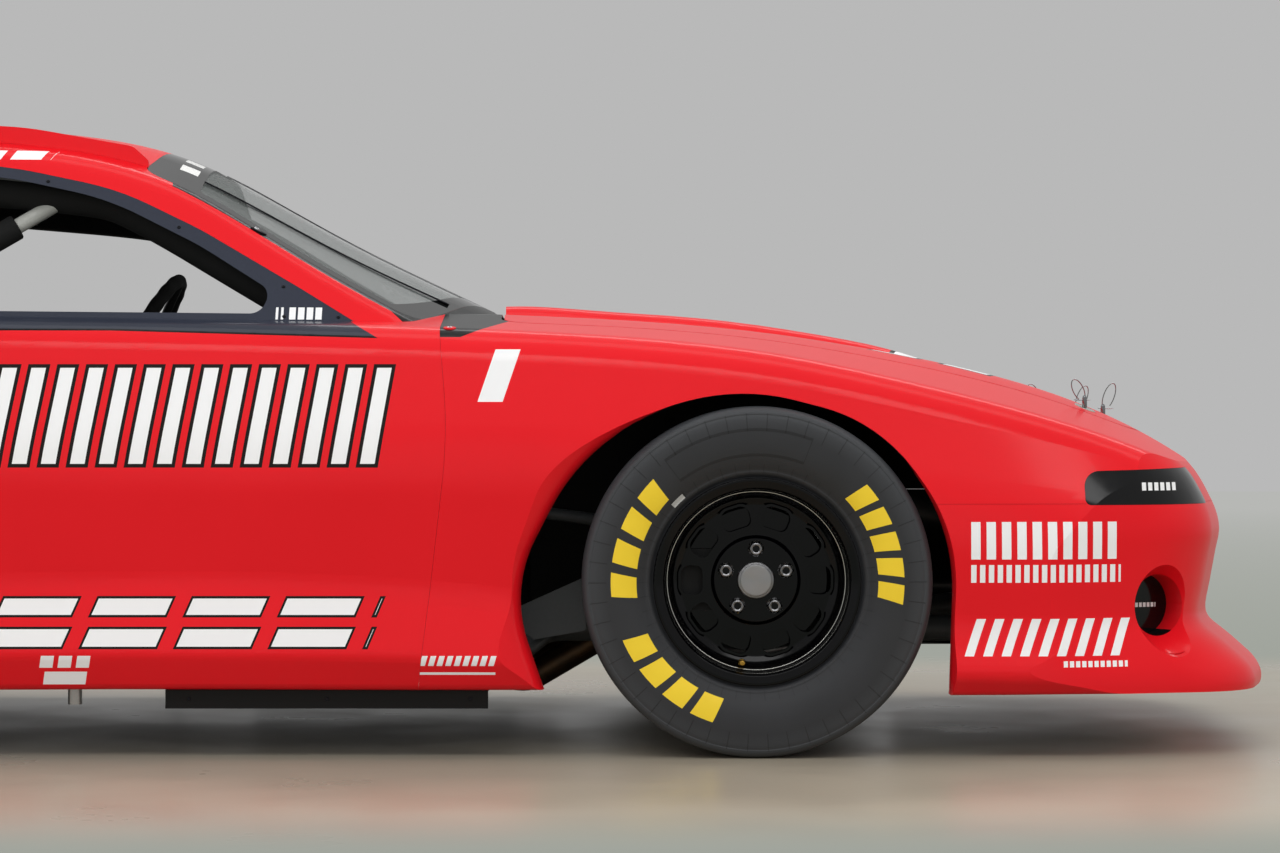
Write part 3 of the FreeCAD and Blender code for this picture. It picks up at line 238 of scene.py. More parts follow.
def turned(name, profile, steps, centres, axes, finish, body="chassis", near=UP, hexed=None, shut=False,
           crease=35.0, sizes=1.0):
    """One turned form, set at each centre with its axis and size, as one piece.

    A centre's points are the centre + (a, b, along) * size, taken along the axis and the two directions of basis().
    """
    turnings = np.stack(basis(axes, near), 1)
    local = lathe(profile, steps, hexed).reshape(1, -1, 3) * np.reshape(sizes, (-1, 1, 1))
    points = np.asarray(centres, float).reshape(-1, 1, 3) + local @ turnings
    return skin_piece(name, points, copies(points, grid_faces(len(profile), steps, shut)), finish, body,
                      crease=crease)


def rounded(points, rounds, shut=False):
    """Cuts the corners of a line of points: each run keeps its middle half, as often as rounds says."""
    points = np.asarray(points, float)
    for _ in range(rounds):
        after = np.roll(points, -1, 0) if shut else points[1:]
        before = points if shut else points[:-1]
        pairs = np.stack([0.75 * before + 0.25 * after, 0.25 * before + 0.75 * after], 1).reshape(-1, points.shape[1])
        points = pairs if shut else np.concatenate([points[:1], pairs, points[-1:]])
    return points


def tube(path, radius, flat, steps):
    """Round wire along a path of points that lies in a plane with the given normal; both ends taper shut."""
    path = np.asarray(path, float)
    ahead = np.gradient(path, axis=0)
    ahead /= np.linalg.norm(ahead, axis=1, keepdims=True)
    flat = np.broadcast_to(np.asarray(flat, float), path.shape)
    side = np.cross(ahead, flat)
    turn = np.linspace(0, 2 * math.pi, steps, endpoint=False)
    size = np.full(len(path), radius)
    size[[0, -1]] = 1e-6
    ring = np.cos(turn)[None, :, None] * side[:, None] + np.sin(turn)[None, :, None] * flat[:, None]
    return path[:, None] + ring * size[:, None, None], grid_faces(len(path), steps)


def shut_ends(loops):
    """A form of loops of points, with one more loop at each end that is drawn in to the end's middle."""
    ends = np.repeat(loops[[0, -1]].mean(1, keepdims=True), loops.shape[1], 1)
    return np.concatenate([ends[:1], loops, ends[1:]])


def on_skin(node, starts, toward):
    """Where straight lines meet a solid's surface, and the surface's outward directions there."""
    found = []
    for start, way in zip(starts, np.broadcast_to(toward, np.shape(starts))):
        hit, place, normal, _ = NODES[node].ray_cast(Vector(start), Vector(way).normalized())
        if not hit:
            raise ValueError("no surface of %s from %s" % (node, start))
        found.append((place, normal))
    return np.array(found).transpose(1, 0, 2)


# ---- camera, floor and light ----
CAMERA = (FX - 0.233, -8.414, 0.659)
LENS, SENSOR = 106.5, 36.0  # focal length and sensor width in mm


def camera_and_light():
    """A level camera square to the car's right side, broad soft light from above and softer fills all round.

    Gloss mirrors only three narrow strips, so that the enamel keeps its red between their bright lines.
    """
    scene = bpy.context.scene
    scene.view_settings.view_transform = "Standard"
    lens = bpy.data.cameras.new("camera")
    lens.lens, lens.sensor_width = LENS, SENSOR
    lens.clip_end = 200
    eye = bpy.data.objects.new("camera", lens)
    eye.location = CAMERA
    eye.rotation_euler = (math.radians(90), 0, 0)
    scene.collection.objects.link(eye)
    scene.camera = eye
    # Each lamp's name, place, tilt and turn in degrees, size in metres, power in watts, and if gloss mirrors it.
    lamps = [("overhead softbox", (0.2, 0.0, 4.8), (0, 0), (9.0, 4.5), 100.0, False),
             ("overhead strip", (0.2, 0.0, 4.7), (0, 0), (9.0, 1.0), 30.0, True),
             ("front fill", (8.5, 0.0, 3.0), (68, 90), (6.0, 3.0), 150.0, False),
             ("rear fill", (-8.5, 0.0, 3.0), (68, -90), (6.0, 3.0), 150.0, False)]
    for side, s in SIDES.items():
        turn = 90 + 90 * s
        lamps += [(side + " softbox", (0.4, 5.2 * s, 5.2), (43, turn), (11.0, 2.4), 175.0, False),
                  (side + " strip", (0.4, 4.4 * s, 5.3), (40, turn), (11.0, 0.8), 75.0, True),
                  (side + " fill", (0.0, 9.4 * s, 2.6), (76, turn), (12.0, 4.0), 330.0, False)]
    for name, spot, (tilt, turn), size, power, mirrored in lamps:
        lamp = bpy.data.lights.new(name, "AREA")
        lamp.shape, lamp.size, lamp.size_y, lamp.energy = "RECTANGLE", size[0], size[1], power
        holder = bpy.data.objects.new(name, lamp)
        holder.location = spot
        holder.rotation_euler = (math.radians(tilt), 0, math.radians(turn))
        holder.visible_glossy = mirrored
        scene.collection.objects.link(holder)
    world = bpy.data.worlds.new("studio")
    scene.world = world
    world.use_nodes = True
    tree = world.node_tree
    seen = add(tree, "LightPath")
    sight = add(tree, "MAXIMUM", seen.outputs["Is Camera Ray"], seen.outputs["Is Transmission Ray"])
    sight = add(tree, "MAXIMUM", sight, seen.outputs["Is Glossy Ray"])
    backdrop = add(tree, "MixRGB", sight, "#8A8A88", "#B9B9B9")
    feed(tree, tree.nodes["Background"], {"Color": backdrop, "Strength": 1.0})


def studio_floor():
    """Sealed concrete near the car that fades into the backdrop's grey further out, with painted shade on its far
    side.

    A place's reach is the larger of |y| and |x| - 2.6: the concrete fades between the reaches 1.75 and 2.6, and
    the grey turns paler up to 22.
    """
    mat, tree = material("sealed concrete", {"Specular IOR Level": 0.35})
    spot, x, y, _ = spot_of(tree)
    mottle = add(tree, "TexNoise", {"Scale": 1.3, "Detail": 5.0, "Roughness": 0.6, "Vector": spot})
    tint = add(tree, "MixRGB", mottle, "#A79B8A", "#B2A795")
    # Painted shade: the concrete is drawn darker from y = -2.4 to 0.8, under and behind the car.
    far_shade_tint = add(tree, "MixRGB", mottle, "#8C8779", "#979284")
    beyond = add(tree, "MapRange", {"From Min": -2.4, "From Max": 0.8, "Value": y})
    tint = add(tree, "MixRGB", beyond, tint, far_shade_tint)
    blur = add(tree, "MapRange", {"From Min": 0.3, "From Max": 0.7, "To Min": 0.24, "To Max": 0.4, "Value": mottle})
    wire(tree, {"Base Color": tint, "Roughness": blur})
    across = add(tree, "ABSOLUTE", y)
    along = add(tree, "ABSOLUTE", x)
    along = add(tree, "SUBTRACT", along, 2.6)
    reach = add(tree, "MAXIMUM", across, along)
    fade = add(tree, "MapRange", {"interpolation_type": "SMOOTHSTEP", "From Min": 1.75, "From Max": 2.6,
                                  "Value": reach})
    distant = add(tree, "MapRange", {"From Min": 2.0, "From Max": 22.0, "Value": reach})
    haze = add(tree, "MixRGB", distant, "#A0A49C", "#B7B8B5")
    grey = add(tree, "Emission", {"Strength": 1.0, "Color": haze})
    blend = add(tree, "MixShader", fade, tree.nodes["Principled BSDF"], grey)
    feed(tree, tree.nodes["Material Output"], {"Surface": blend})
    corners = np.array([[-1, -1, 0], [1, -1, 0], [1, 1, 0], [-1, 1, 0]]) * 30.0
    mesh = bpy.data.meshes.new("studio_floor")
    mesh.from_pydata(corners.tolist(), [], [(0, 1, 2, 3)])
    mesh.materials.append(mat)
    floor = bpy.data.objects.new("studio_floor", mesh)
    bpy.context.scene.collection.objects.link(floor)


# ---- finishes ----
# Rows of blocks: (plane, (start, end, low, high, pitch, filled, slant), rim). Stations are from the front axle.
BLOCK_ROWS = {
    "door": [("side", (-1.880, -0.748, 0.585, 0.776, 0.0575, 0.029, 0.16), 0.0075),
             ("side", (-1.880, -0.757, 0.286, 0.318, 0.187, 0.146, 0.42), 0.005),
             ("side", (-1.897, -0.774, 0.224, 0.258, 0.187, 0.146, 0.42), 0.005),
             ("side", (-1.421, -1.316, 0.182, 0.206, 0.036, 0.026, 0.20), 0.0),
             ("side", (-1.416, -1.328, 0.148, 0.174, 0.400, 0.084, 0.20), 0.0)],
    "fender": [("side", (-0.556, -0.506, 0.708, 0.813, 0.120, 0.050, 0.33), 0.0),
               ("side", (-0.669, -0.516, 0.186, 0.206, 0.017, 0.011, 0.30), 0.0),
               ("side", (-0.669, -0.516, 0.168, 0.173, 0.400, 0.150, 0.0), 0.0)],
    "bumper": [("side", (0.422, 0.724, 0.396, 0.470, 0.0305, 0.0185, 0.0), 0.0),
               ("side", (0.422, 0.724, 0.350, 0.385, 0.0175, 0.0105, 0.0), 0.0),
               ("side", (0.408, 0.725, 0.205, 0.278, 0.0365, 0.0185, 0.35), 0.0),
               ("side", (0.604, 0.735, 0.183, 0.195, 0.0125, 0.0085, 0.0), 0.0),
               ("front", (0.060, 0.300, 0.418, 0.470, 0.030, 0.020, 0.0), 0.0)],
    "quarter": [("side", (-3.250, -3.000, 0.640, 0.690, 0.034, 0.021, 0.25), 0.0),
                ("side", (-2.230, -1.912, 0.286, 0.318, 0.187, 0.146, 0.42), 0.005),
                ("side", (-2.230, -1.912, 0.224, 0.258, 0.187, 0.146, 0.42), 0.005)],
    "hood": [("plan", (0.255, 0.505, -0.430, -0.060, 0.150, 0.092, 0.30), 0.010),
             ("plan", (0.760, 0.840, -0.120, 0.120, 0.040, 0.022, 0.0), 0.0)],
    "roof": [("side", (-1.704, -1.454, 1.212, 1.232, 0.083, 0.064, 0.60), 0.0),
             ("plan", (-1.980, -1.480, -0.300, 0.300, 0.260, 0.140, 0.30), 0.014)],
    "tail": [("front", (0.060, 0.560, 0.640, 0.700, 0.036, 0.022, 0.0), 0.0)],
    "plain": [],
}


WINDOW_EDGES = ("door", "fender", "roof")  # the panels that window_edges() paints


def window_edges(tree, colour, panel, x, y, z):
    """Adds the slate ledge below the side window, and the black surround of the windshield, to a colour.

    The ledge is the part of the body above a line that falls by 0.029 per metre ahead, behind a slanted end; a
    black gasket 4 mm tall runs under it. The surround reaches 20 mm past the windshield's outline in plan, and
    its lower corner is the body's crown between the pillar's foot and the hood: above a line at the crown's
    height that rises by 0.415 per metre ahead of its corner.
    """
    def over(value, factor, offset, limit):
        """1 where value * factor + offset is over the limit."""
        total = add(tree, "MULTIPLY_ADD", value, factor, offset)
        return add(tree, "GREATER_THAN", total, limit)

    def all_of(*masks):
        """1 where every mask is."""
        both = masks[0]
        for mask in masks[1:]:
            both = add(tree, "MULTIPLY", both, mask)
        return both

    if panel == "door":
        ledge, front, fall = 0.840, 0.765, 0.029
        away = add(tree, "MULTIPLY", x, -1.0)
        flat = add(tree, "Clamp", {"Min": FX - 1.295, "Max": FX - front, 0: x})
        behind = over(z, -1.7, away, front - 1.7 * ledge - FX)
        for rise, code in ((-0.004, "#08080A"), (0.0, "#2B2F3B")):
            above = over(flat, fall, z, ledge + rise + fall * (FX - front))
            colour = add(tree, "MixRGB", all_of(above, behind), colour, code)
        return colour
    out = add(tree, "ABSOLUTE", y)
    hood, corner, pillar = FX - 0.500, FX - 0.593, FX - 0.690
    before_hood = add(tree, "LESS_THAN", x, hood)
    foot = over(z, 1.1, x, pillar + 1.1 * 0.848)
    past = add(tree, "SUBTRACT", x, corner)
    past = add(tree, "MAXIMUM", past, 0.0)
    crown = over(past, -0.415, z, 0.846 if panel == "roof" else 0.838)
    mask = all_of(foot, crown, before_hood)
    if panel == "roof":
        border = 0.020
        ahead = add(tree, "MULTIPLY", x, PANE_SPREAD)
        near_side = over(out, -1.0, ahead, PANE_SPREAD * (FX + PANE_STATION) - PANE_HALF - 1.027 * border)
        near_top = over(out, -PANE_BOW, x, FX + PANE_TOP - border)
        mask = add(tree, "MAXIMUM", mask, all_of(near_side, near_top))
    return add(tree, "MixRGB", mask, colour, "#0F1010")


def red_enamel(name):
    """Sprayed and polished red enamel under clear coat, with vinyl blocks, and the inside painted near black as
    painted shade.

    To the eye: a saturated red that stays deep in the shade and turns pale only where it mirrors a lamp. The
    inside of the moulding is painted near black as painted shade: there the surface faces the car's middle line,
    which runs at the height 0.42 between two stations, so the product of its normal with the direction from that
    line is negative.
    """
    mat, tree = material("red enamel " + name, {"Roughness": 0.5, "Coat Weight": 0.42, "Coat Roughness": 0.14,
                                                "Specular IOR Level": 0.05})
    spot, x, y, z = spot_of(tree)
    cloud = add(tree, "TexNoise", {"Scale": 3.0, "Detail": 2.0, "Vector": spot})
    red = add(tree, "MixRGB", cloud, "#D5111B", "#DC141F")
    colour = marks(tree, red, BLOCK_ROWS[name], x, y, z)
    if name in WINDOW_EDGES:
        colour = window_edges(tree, colour, name, x, y, z)
    near = add(tree, "Clamp", {"Min": FX - 3.4, "Max": FX + 0.55, 0: x})
    along = add(tree, "SUBTRACT", x, near)
    rise = add(tree, "SUBTRACT", z, 0.42)
    away = add(tree, "CombineXYZ", along, y, rise)
    normal = add(tree, "TexCoord").outputs["Normal"]
    facing = add(tree, "VectorMath", {"operation": "DOT_PRODUCT", 0: away, 1: normal})
    # Painted shade: surfaces that face the car's middle line are drawn near black.
    inside = add(tree, "LESS_THAN", facing.outputs["Value"], -0.06)
    colour = add(tree, "MixRGB", inside, colour, "#0D0D0D")
    # Orange peel has waves of about 4 mm.
    peel = add(tree, "TexNoise", {"Scale": 250.0, "Detail": 2.0, "Vector": spot})
    bump = add(tree, "Bump", {"Strength": 0.02, "Distance": 0.001, "Height": peel})
    wire(tree, {"Base Color": colour, "Coat Normal": bump})
    return mat


def plain(name, colour, rough, scale, metal=0.0, shine=0.5, grain=0.0, vary=0.12, rows=()):
    """A moulded, cast or painted finish: one colour varied a little by fine noise, with a matching bump.

    scale is the noise's, in waves per metre, and shine the principled shader's specular level.
    """
    mat, tree = material(name, {"Roughness": rough, "Metallic": metal, "Specular IOR Level": shine})
    spot, x, y, z = spot_of(tree)
    noise = add(tree, "TexNoise", {"Scale": scale, "Detail": 4.0, "Vector": spot})
    base = linear(colour)
    dark = tuple(c * (1 - vary) for c in base[:3]) + (1.0,)
    pale = tuple(min(1.0, c * (1 + vary)) for c in base[:3]) + (1.0,)
    tint = add(tree, "MixRGB", noise, dark, pale)
    tint = marks(tree, tint, rows, x, y, z)
    haze = add(tree, "MapRange", {"To Min": max(0.02, rough - 0.05), "To Max": min(1.0, rough + 0.05),
                                  "Value": noise})
    wire(tree, {"Base Color": tint, "Roughness": haze})
    if grain:
        bump = add(tree, "Bump", {"Strength": grain, "Distance": 0.0006, "Height": noise})
        wire(tree, {"Normal": bump})
    return mat


def glazing(windshield):
    """Clear polycarbonate, wiped and faintly scuffed; the windshield has a black border and a row of blocks.

    To the eye: a pale grey sheet that mirrors the lights, with the border opaque. The border is the band within
    34 mm of the pane's sides, the strip along its top, which holds the blocks, and the part ahead of a line that
    goes back from the foot by bow * y^2.
    """
    mat, tree = material("polycarbonate windshield" if windshield else "polycarbonate window",
                         {"Roughness": 0.03, "IOR": 1.49, "Alpha": 0.3})
    spot, x, y, _ = spot_of(tree)
    scuff = add(tree, "TexNoise", {"Scale": 60.0, "Detail": 6.0, "Vector": spot})
    haze = add(tree, "MapRange", {"From Min": 0.45, "From Max": 0.75, "To Min": 0.02, "To Max": 0.09,
                                  "Value": scuff})
    tint = add(tree, "MixRGB", scuff, "#868C8A", "#949A98")
    wire(tree, {"Base Color": tint, "Roughness": haze})
    if not windshield:
        return mat
    out = add(tree, "ABSOLUTE", y)
    bow, foot, top = 0.40, FX - 0.585, FX - 1.150
    square = add(tree, "MULTIPLY", y, y)
    lower = add(tree, "MULTIPLY_ADD", square, bow, x)
    lower = add(tree, "GREATER_THAN", lower, foot)
    inner = PANE_HALF - 0.034 - PANE_SPREAD * (FX + PANE_STATION)
    slope = add(tree, "MULTIPLY_ADD", x, -PANE_SPREAD, out)
    edge = add(tree, "GREATER_THAN", slope, inner)
    border = add(tree, "MAXIMUM", lower, edge)
    flag = block_row(tree, y, x, (-0.405, 0.42, FX - 1.206, FX - 1.168, 0.100, 0.055, 0.0))
    strip = add(tree, "LESS_THAN", x, top)
    border = add(tree, "MAXIMUM", border, strip)
    ink = add(tree, "MixRGB", border, tint, "#0F1010")
    ink = add(tree, "MixRGB", flag, ink, "#EDEDEB")
    solid = add(tree, "MAXIMUM", border, flag)
    cover = add(tree, "MapRange", {"To Min": 0.3, "To Max": 1.0, "Value": solid})
    wire(tree, {"Base Color": ink, "Alpha": cover})
    return mat


def racing_rubber():
    """Slick racing rubber with yellow sidewall blocks and faint moulded marks, in the wheel's own coordinates.

    To the eye: warm black, dull, a little paler on the tread, where it is scrubbed and where a painted sheen lies.
    The attribute holds (a, b, out) from the wheel's middle, so the angle is atan2(b, a) and the radius the length of
    (a, b).
    """
    mat, tree = material("racing slick rubber", {"Specular IOR Level": 0.5})
    held = add(tree, "Attribute", {"attribute_name": "wheel_place"})
    parts = add(tree, "SeparateXYZ", held.outputs["Vector"])
    a, b, out = parts.outputs
    angle = add(tree, "ARCTAN2", b, a)
    angle = add(tree, "FLOORED_MODULO", angle, 2 * math.pi)
    rise = add(tree, "MULTIPLY", b, b)
    reach = add(tree, "MULTIPLY_ADD", a, a, rise)
    radius = add(tree, "SQRT", reach)
    # Yellow blocks 51 mm tall in three rows, each by start, end, pitch and filled angle in degrees. The first row
    # crosses the angle 0, so that it is drawn 60 degrees late.
    late = add(tree, "ADD", angle, math.radians(60))
    late = add(tree, "FLOORED_MODULO", late, 2 * math.pi)
    rows = [(late, (53, 106, 10.75, 7.6)), (angle, (137, 191, 13.6, 9.6)), (angle, (205, 256.5, 13.1, 9.6))]
    ink = None
    for turn, degrees in rows:
        start, end, pitch, filled = np.radians(degrees).tolist()
        block = block_row(tree, turn, radius, (start, end, 0.240, 0.291, pitch, filled, -0.6))
        ink = block if ink is None else add(tree, "MAXIMUM", ink, block)
    outer = add(tree, "GREATER_THAN", out, 0.1)
    ink = add(tree, "MULTIPLY", ink, outer)
    label = block_row(tree, angle, radius, (math.radians(130.5), math.radians(138), 0.220, 0.230, 1.0, 0.131, 0.0))
    # Grain of about 1 mm, and broad brushed patches where the rubber is wiped.
    grain = add(tree, "TexNoise", {"Scale": 700.0, "Detail": 5.0, "Vector": held.outputs["Vector"]})
    patch = add(tree, "TexNoise", {"Scale": 9.0, "Detail": 4.0, "Vector": held.outputs["Vector"]})
    # Scrub and painted sheen: the tread and its shoulders, from the radius 300 mm out, are drawn paler.
    tread = add(tree, "MapRange", {"From Min": 0.300, "From Max": 0.349, "Value": radius})
    black = add(tree, "MixRGB", patch, "#1E1F21", "#2A2B2E")
    black = add(tree, "MixRGB", tread, black, "#383A3D")
    # Moulded marks: short radial ribs every 7.2 degrees in two rings, and one oblong frame at the top.
    phase = add(tree, "FLOORED_MODULO", angle, math.radians(7.2))
    rib = add(tree, "LESS_THAN", phase, 0.0065)
    zone = add(tree, "COMPARE", radius, 0.318, 0.018)
    zone_low = add(tree, "COMPARE", radius, 0.226, 0.010)
    zone = add(tree, "MAXIMUM", zone, zone_low)
    rib = add(tree, "MULTIPLY", rib, zone)
    oblong = (math.radians(69), math.radians(127), 0.256, 0.300, 3.0, math.radians(58), 0.0)
    wide_frame = block_row(tree, angle, radius, oblong, 0.0060)
    inner_frame = block_row(tree, angle, radius, oblong, 0.0)
    rim = add(tree, "SUBTRACT", wide_frame, inner_frame)
    relief = add(tree, "ADD", rib, rim)
    # The ribs and the frame are drawn darker than the rubber round them.
    relief_dark = add(tree, "MULTIPLY", relief, 0.55)
    black = add(tree, "MixRGB", relief_dark, black, "#060607")
    yellow = add(tree, "MixRGB", patch, "#DDBB1E", "#F2D133")
    colour = add(tree, "MixRGB", ink, black, yellow)
    colour = add(tree, "MixRGB", label, colour, "#A9A9A6")
    relief = add(tree, "MULTIPLY_ADD", grain, 0.4, relief)
    relief = add(tree, "MULTIPLY_ADD", ink, 0.5, relief)
    bump = add(tree, "Bump", {"Strength": 0.5, "Distance": 0.0008, "Height": relief})
    blur = add(tree, "MapRange", {"To Min": 0.42, "To Max": 0.62, "Value": patch})
    wire(tree, {"Base Color": colour, "Normal": bump, "Roughness": blur})
    return mat


def turned_aluminium():
    """Faced aluminium cap: lathe rings 0.8 mm apart, as a bump and as rings of painted highlight and shade in the
    colour, drawn coarse enough to be seen.
    """
    mat, tree = material("turned aluminium cap", {"Metallic": 1.0, "Roughness": 0.3,
                                                  "Base Color": "#B9B9BA"})
    held = add(tree, "Attribute", {"attribute_name": "wheel_place"})
    rings = add(tree, "TexWave", {"wave_type": "RINGS", "rings_direction": "Z", "Scale": 390.0, "Distortion": 0.3,
                                  "Vector": held.outputs["Vector"]})
    bump = add(tree, "Bump", {"Strength": 0.35, "Distance": 0.0004, "Height": rings.outputs["Fac"]})
    # Painted highlights and shade: the rings are drawn alternately pale and dark in the colour.
    shade = add(tree, "MixRGB", rings.outputs["Fac"], "#8E8E90", "#C4C4C5")
    wire(tree, {"Base Color": shade, "Normal": bump})
    return mat


def seat_cloth():
    """Woven cloth: |sin| waves 1.6 mm apart in two directions, whose product is the weave's height and its painted
    shade, darker in the hollows between threads.

    To the eye: a soft warm black that shows its threads close by and a faint sheen at its edges.
    """
    mat, tree = material("black seat cloth", {"Roughness": 0.92, "Sheen Weight": 0.3, "Specular IOR Level": 0.2})
    _, x, y, z = spot_of(tree)
    slope = add(tree, "ADD", x, z)
    waves = []
    for lane in (y, slope):
        wave = add(tree, "MULTIPLY", lane, math.pi / 0.0016)
        wave = add(tree, "SINE", wave)
        waves.append(add(tree, "ABSOLUTE", wave))
    weave = add(tree, "MULTIPLY", waves[0], waves[1])
    thread = linear("#191A1C")
    # Painted shade: the threads are drawn darker where the weave is low.
    tint = add(tree, "MixRGB", weave, tuple(0.6 * c for c in thread[:3]) + (1.0,), thread)
    bump = add(tree, "Bump", {"Strength": 0.4, "Distance": 0.0008, "Height": weave})
    wire(tree, {"Base Color": tint, "Normal": bump})
    return mat


def heat_steel():
    """Mild steel pipe: straw brown from heat towards the engine, a dull sooty grey behind."""
    mat, tree = material("heat tinted steel", {"Metallic": 1.0, "Roughness": 0.45})
    spot, x, _, _ = spot_of(tree)
    soot = add(tree, "TexNoise", {"Scale": 35.0, "Detail": 5.0, "Vector": spot})
    heat = add(tree, "MapRange", {"From Min": FX - 1.6, "From Max": FX - 0.3, "Value": x})
    straw = add(tree, "MixRGB", heat, "#6E6A66", "#7A5C3C")
    tint = add(tree, "MixRGB", soot, "#3C3A39", straw)
    bump = add(tree, "Bump", {"Strength": 0.2, "Distance": 0.0006, "Height": soot})
    wire(tree, {"Base Color": tint, "Normal": bump})
    return mat


def finishes():
    """Every finish by the record's slot name, and the extra ones of the fittings."""
    lamp_rows = [("side", (0.770, 0.846, 0.531, 0.547, 0.0135, 0.009, 0.0), 0.0),
                 ("side", (0.742, 0.812, 0.294, 0.303, 0.0085, 0.006, 0.0), 0.0)]
    window_rows = [("side", (-0.972, -0.951, 0.876, 0.901, 0.0105, 0.005, 0.0), 0.0),
                   ("side", (-0.945, -0.878, 0.876, 0.901, 0.0175, 0.013, 0.0), 0.0)]
    return {
        "glass": glazing(False),
        "windshield": glazing(True),
        # Cast acrylic, backed in black: deep and mirror smooth.
        "black_cover": plain("gloss black acrylic", "#040405", 0.10, 40.0, shine=0.35, rows=lamp_rows),
        # Extruded polypropylene strip: dull, with a fine scuffed grain of about 2 mm.
        "black_plastic": plain("black polypropylene", "#0C0C0C", 0.5, 500.0, shine=0.25, grain=0.25),
        # Satin paint on folded sheet: slate blue, soft reflections.
        "surround_blue_grey": plain("slate satin paint", "#2B2F3B", 0.42, 160.0, shine=0.22, rows=window_rows),
        # Paints on tubes and sheet: flat greys, each a step paler than the one before.
        "frame_grey": plain("grey chassis paint", "#4A4D4F", 0.42, 120.0, grain=0.05),
        "sheet_grey": plain("grey sheet paint", "#5B5E60", 0.42, 90.0, grain=0.05),
        "cage_grey": plain("grey cage paint", "#6E7071", 0.38, 120.0, grain=0.05),
        "brace_grey": plain("light grey tube paint", "#A3A49F", 0.4, 150.0, grain=0.04),
        # Closed-cell foam sleeve: matt, with a fine skin of pores about 1 mm wide.
        "foam_black": plain("black foam sleeve", "#101010", 0.85, 900.0, grain=0.5),
        # Sand-cast iron: dark, rough at about 1.5 mm.
        "cast_iron": plain("cast iron", "#232323", 0.6, 650.0, metal=0.6, grain=0.4),
        # Plated steel: a dull grey metal on the links, brighter on turned nuts, and a mirror where chromed.
        "steel": plain("zinc plated steel", "#6F6F72", 0.4, 200.0, metal=1.0),
        "nut_steel": plain("plated steel nuts", "#8B8B8D", 0.2, 90.0, metal=1.0, vary=0.05),
        "chrome": plain("chromed steel", "#D2D2D4", 0.08, 50.0, metal=1.0, vary=0.04),
        # Aluminium: grey and hazy as milled, pale with broad highlights where polished, ringed where turned.
        "bare_aluminium": plain("milled aluminium", "#B4B4B3", 0.3, 300.0, metal=1.0),
        "polished": plain("polished aluminium lip", "#E0DFD8", 0.16, 120.0, metal=1.0, vary=0.06),
        "cap": turned_aluminium(),
        "tyre_rubber": racing_rubber(),
        # Powder-coated wheel steel under gloss enamel: black with narrow hard highlights.
        "wheel_black": plain("gloss black wheel enamel", "#020203", 0.09, 90.0, shine=0.24),
        # Yellow metal, softly bright.
        "brass": plain("brass valve", "#C49A45", 0.25, 200.0, metal=1.0),
        # Oxide-blacked steel: nearly black, with a blue-grey gleam on its edges.
        "dark_screw": plain("black oxide screw", "#1E1F24", 0.4, 300.0, metal=0.7),
        # Brushed leather: a dead black without highlights.
        "suede": plain("black suede grip", "#131313", 0.9, 1200.0, grain=0.7),
        # Anodised aluminium: black with a faint metal gleam.
        "seat_shell": plain("black anodised seat shell", "#17181A", 0.45, 200.0, metal=0.5),
        "seat_black": seat_cloth(),
        # Printed card under the gauges' glass: a matt near white.
        "dial": plain("white dial face", "#D8D7D2", 0.5, 200.0),
        "exhaust": heat_steel(),
    }


# The panel whose rows of blocks each painted node carries, and the nodes with a finish apart from their slot's.
PAINTED = {"door_panel_right": "door", "door_panel_left": "door", "front_clip": "fender", "front_bumper": "bumper",
           "quarter_panel_right": "quarter", "quarter_panel_left": "quarter", "hood": "hood", "greenhouse": "roof",
           "rear_bumper": "tail", "deck_lid": "plain", "roof_rails": "plain"}
OWN_FINISH = {"windshield": "windshield", "exhaust": "exhaust"}


def dress_nodes(finish):
    """Gives every CAD node the finish of its slot, and the painted panels their own rows of blocks."""
    enamel = {name: red_enamel(name) for name in sorted(set(PAINTED.values()))}
    for row in frame["record"]["subparts"]:
        name = row["node"]
        coat = enamel[PAINTED[name]] if name in PAINTED else finish[OWN_FINISH.get(name, row["material_slot"])]
        NODES[name].data.materials.clear()
        NODES[name].data.materials.append(coat)
    return enamel


# ---- wheels ----
# One half of the tyre's outer face from the tread's middle to the bead, then its inner wall: (out, radius) in mm.
TYRE_OUTER = [(0, 350), (70, 350), (118, 349.6), (136, 347.5), (146, 341), (148.6, 334), (147.6, 332.6),
              (150.4, 326), (151.7, 310), (151.9, 292), (150, 268), (145, 248), (137, 232), (130.5, 222.5),
              (130.8, 219), (127.5, 214.5), (122, 210.5), (119.8, 208), (119.8, 191)]
TYRE_INNER = [(90, 191), (96, 206), (138, 256), (138, 316), (128, 338), (0, 338)]
# The wheel nuts' number and circle, and the angle and radius of the valve's place.
NUTS, NUT_CIRCLE = 5, 0.0635
VALVE_TURN, VALVE_CIRCLE = math.radians(-100), 0.1665


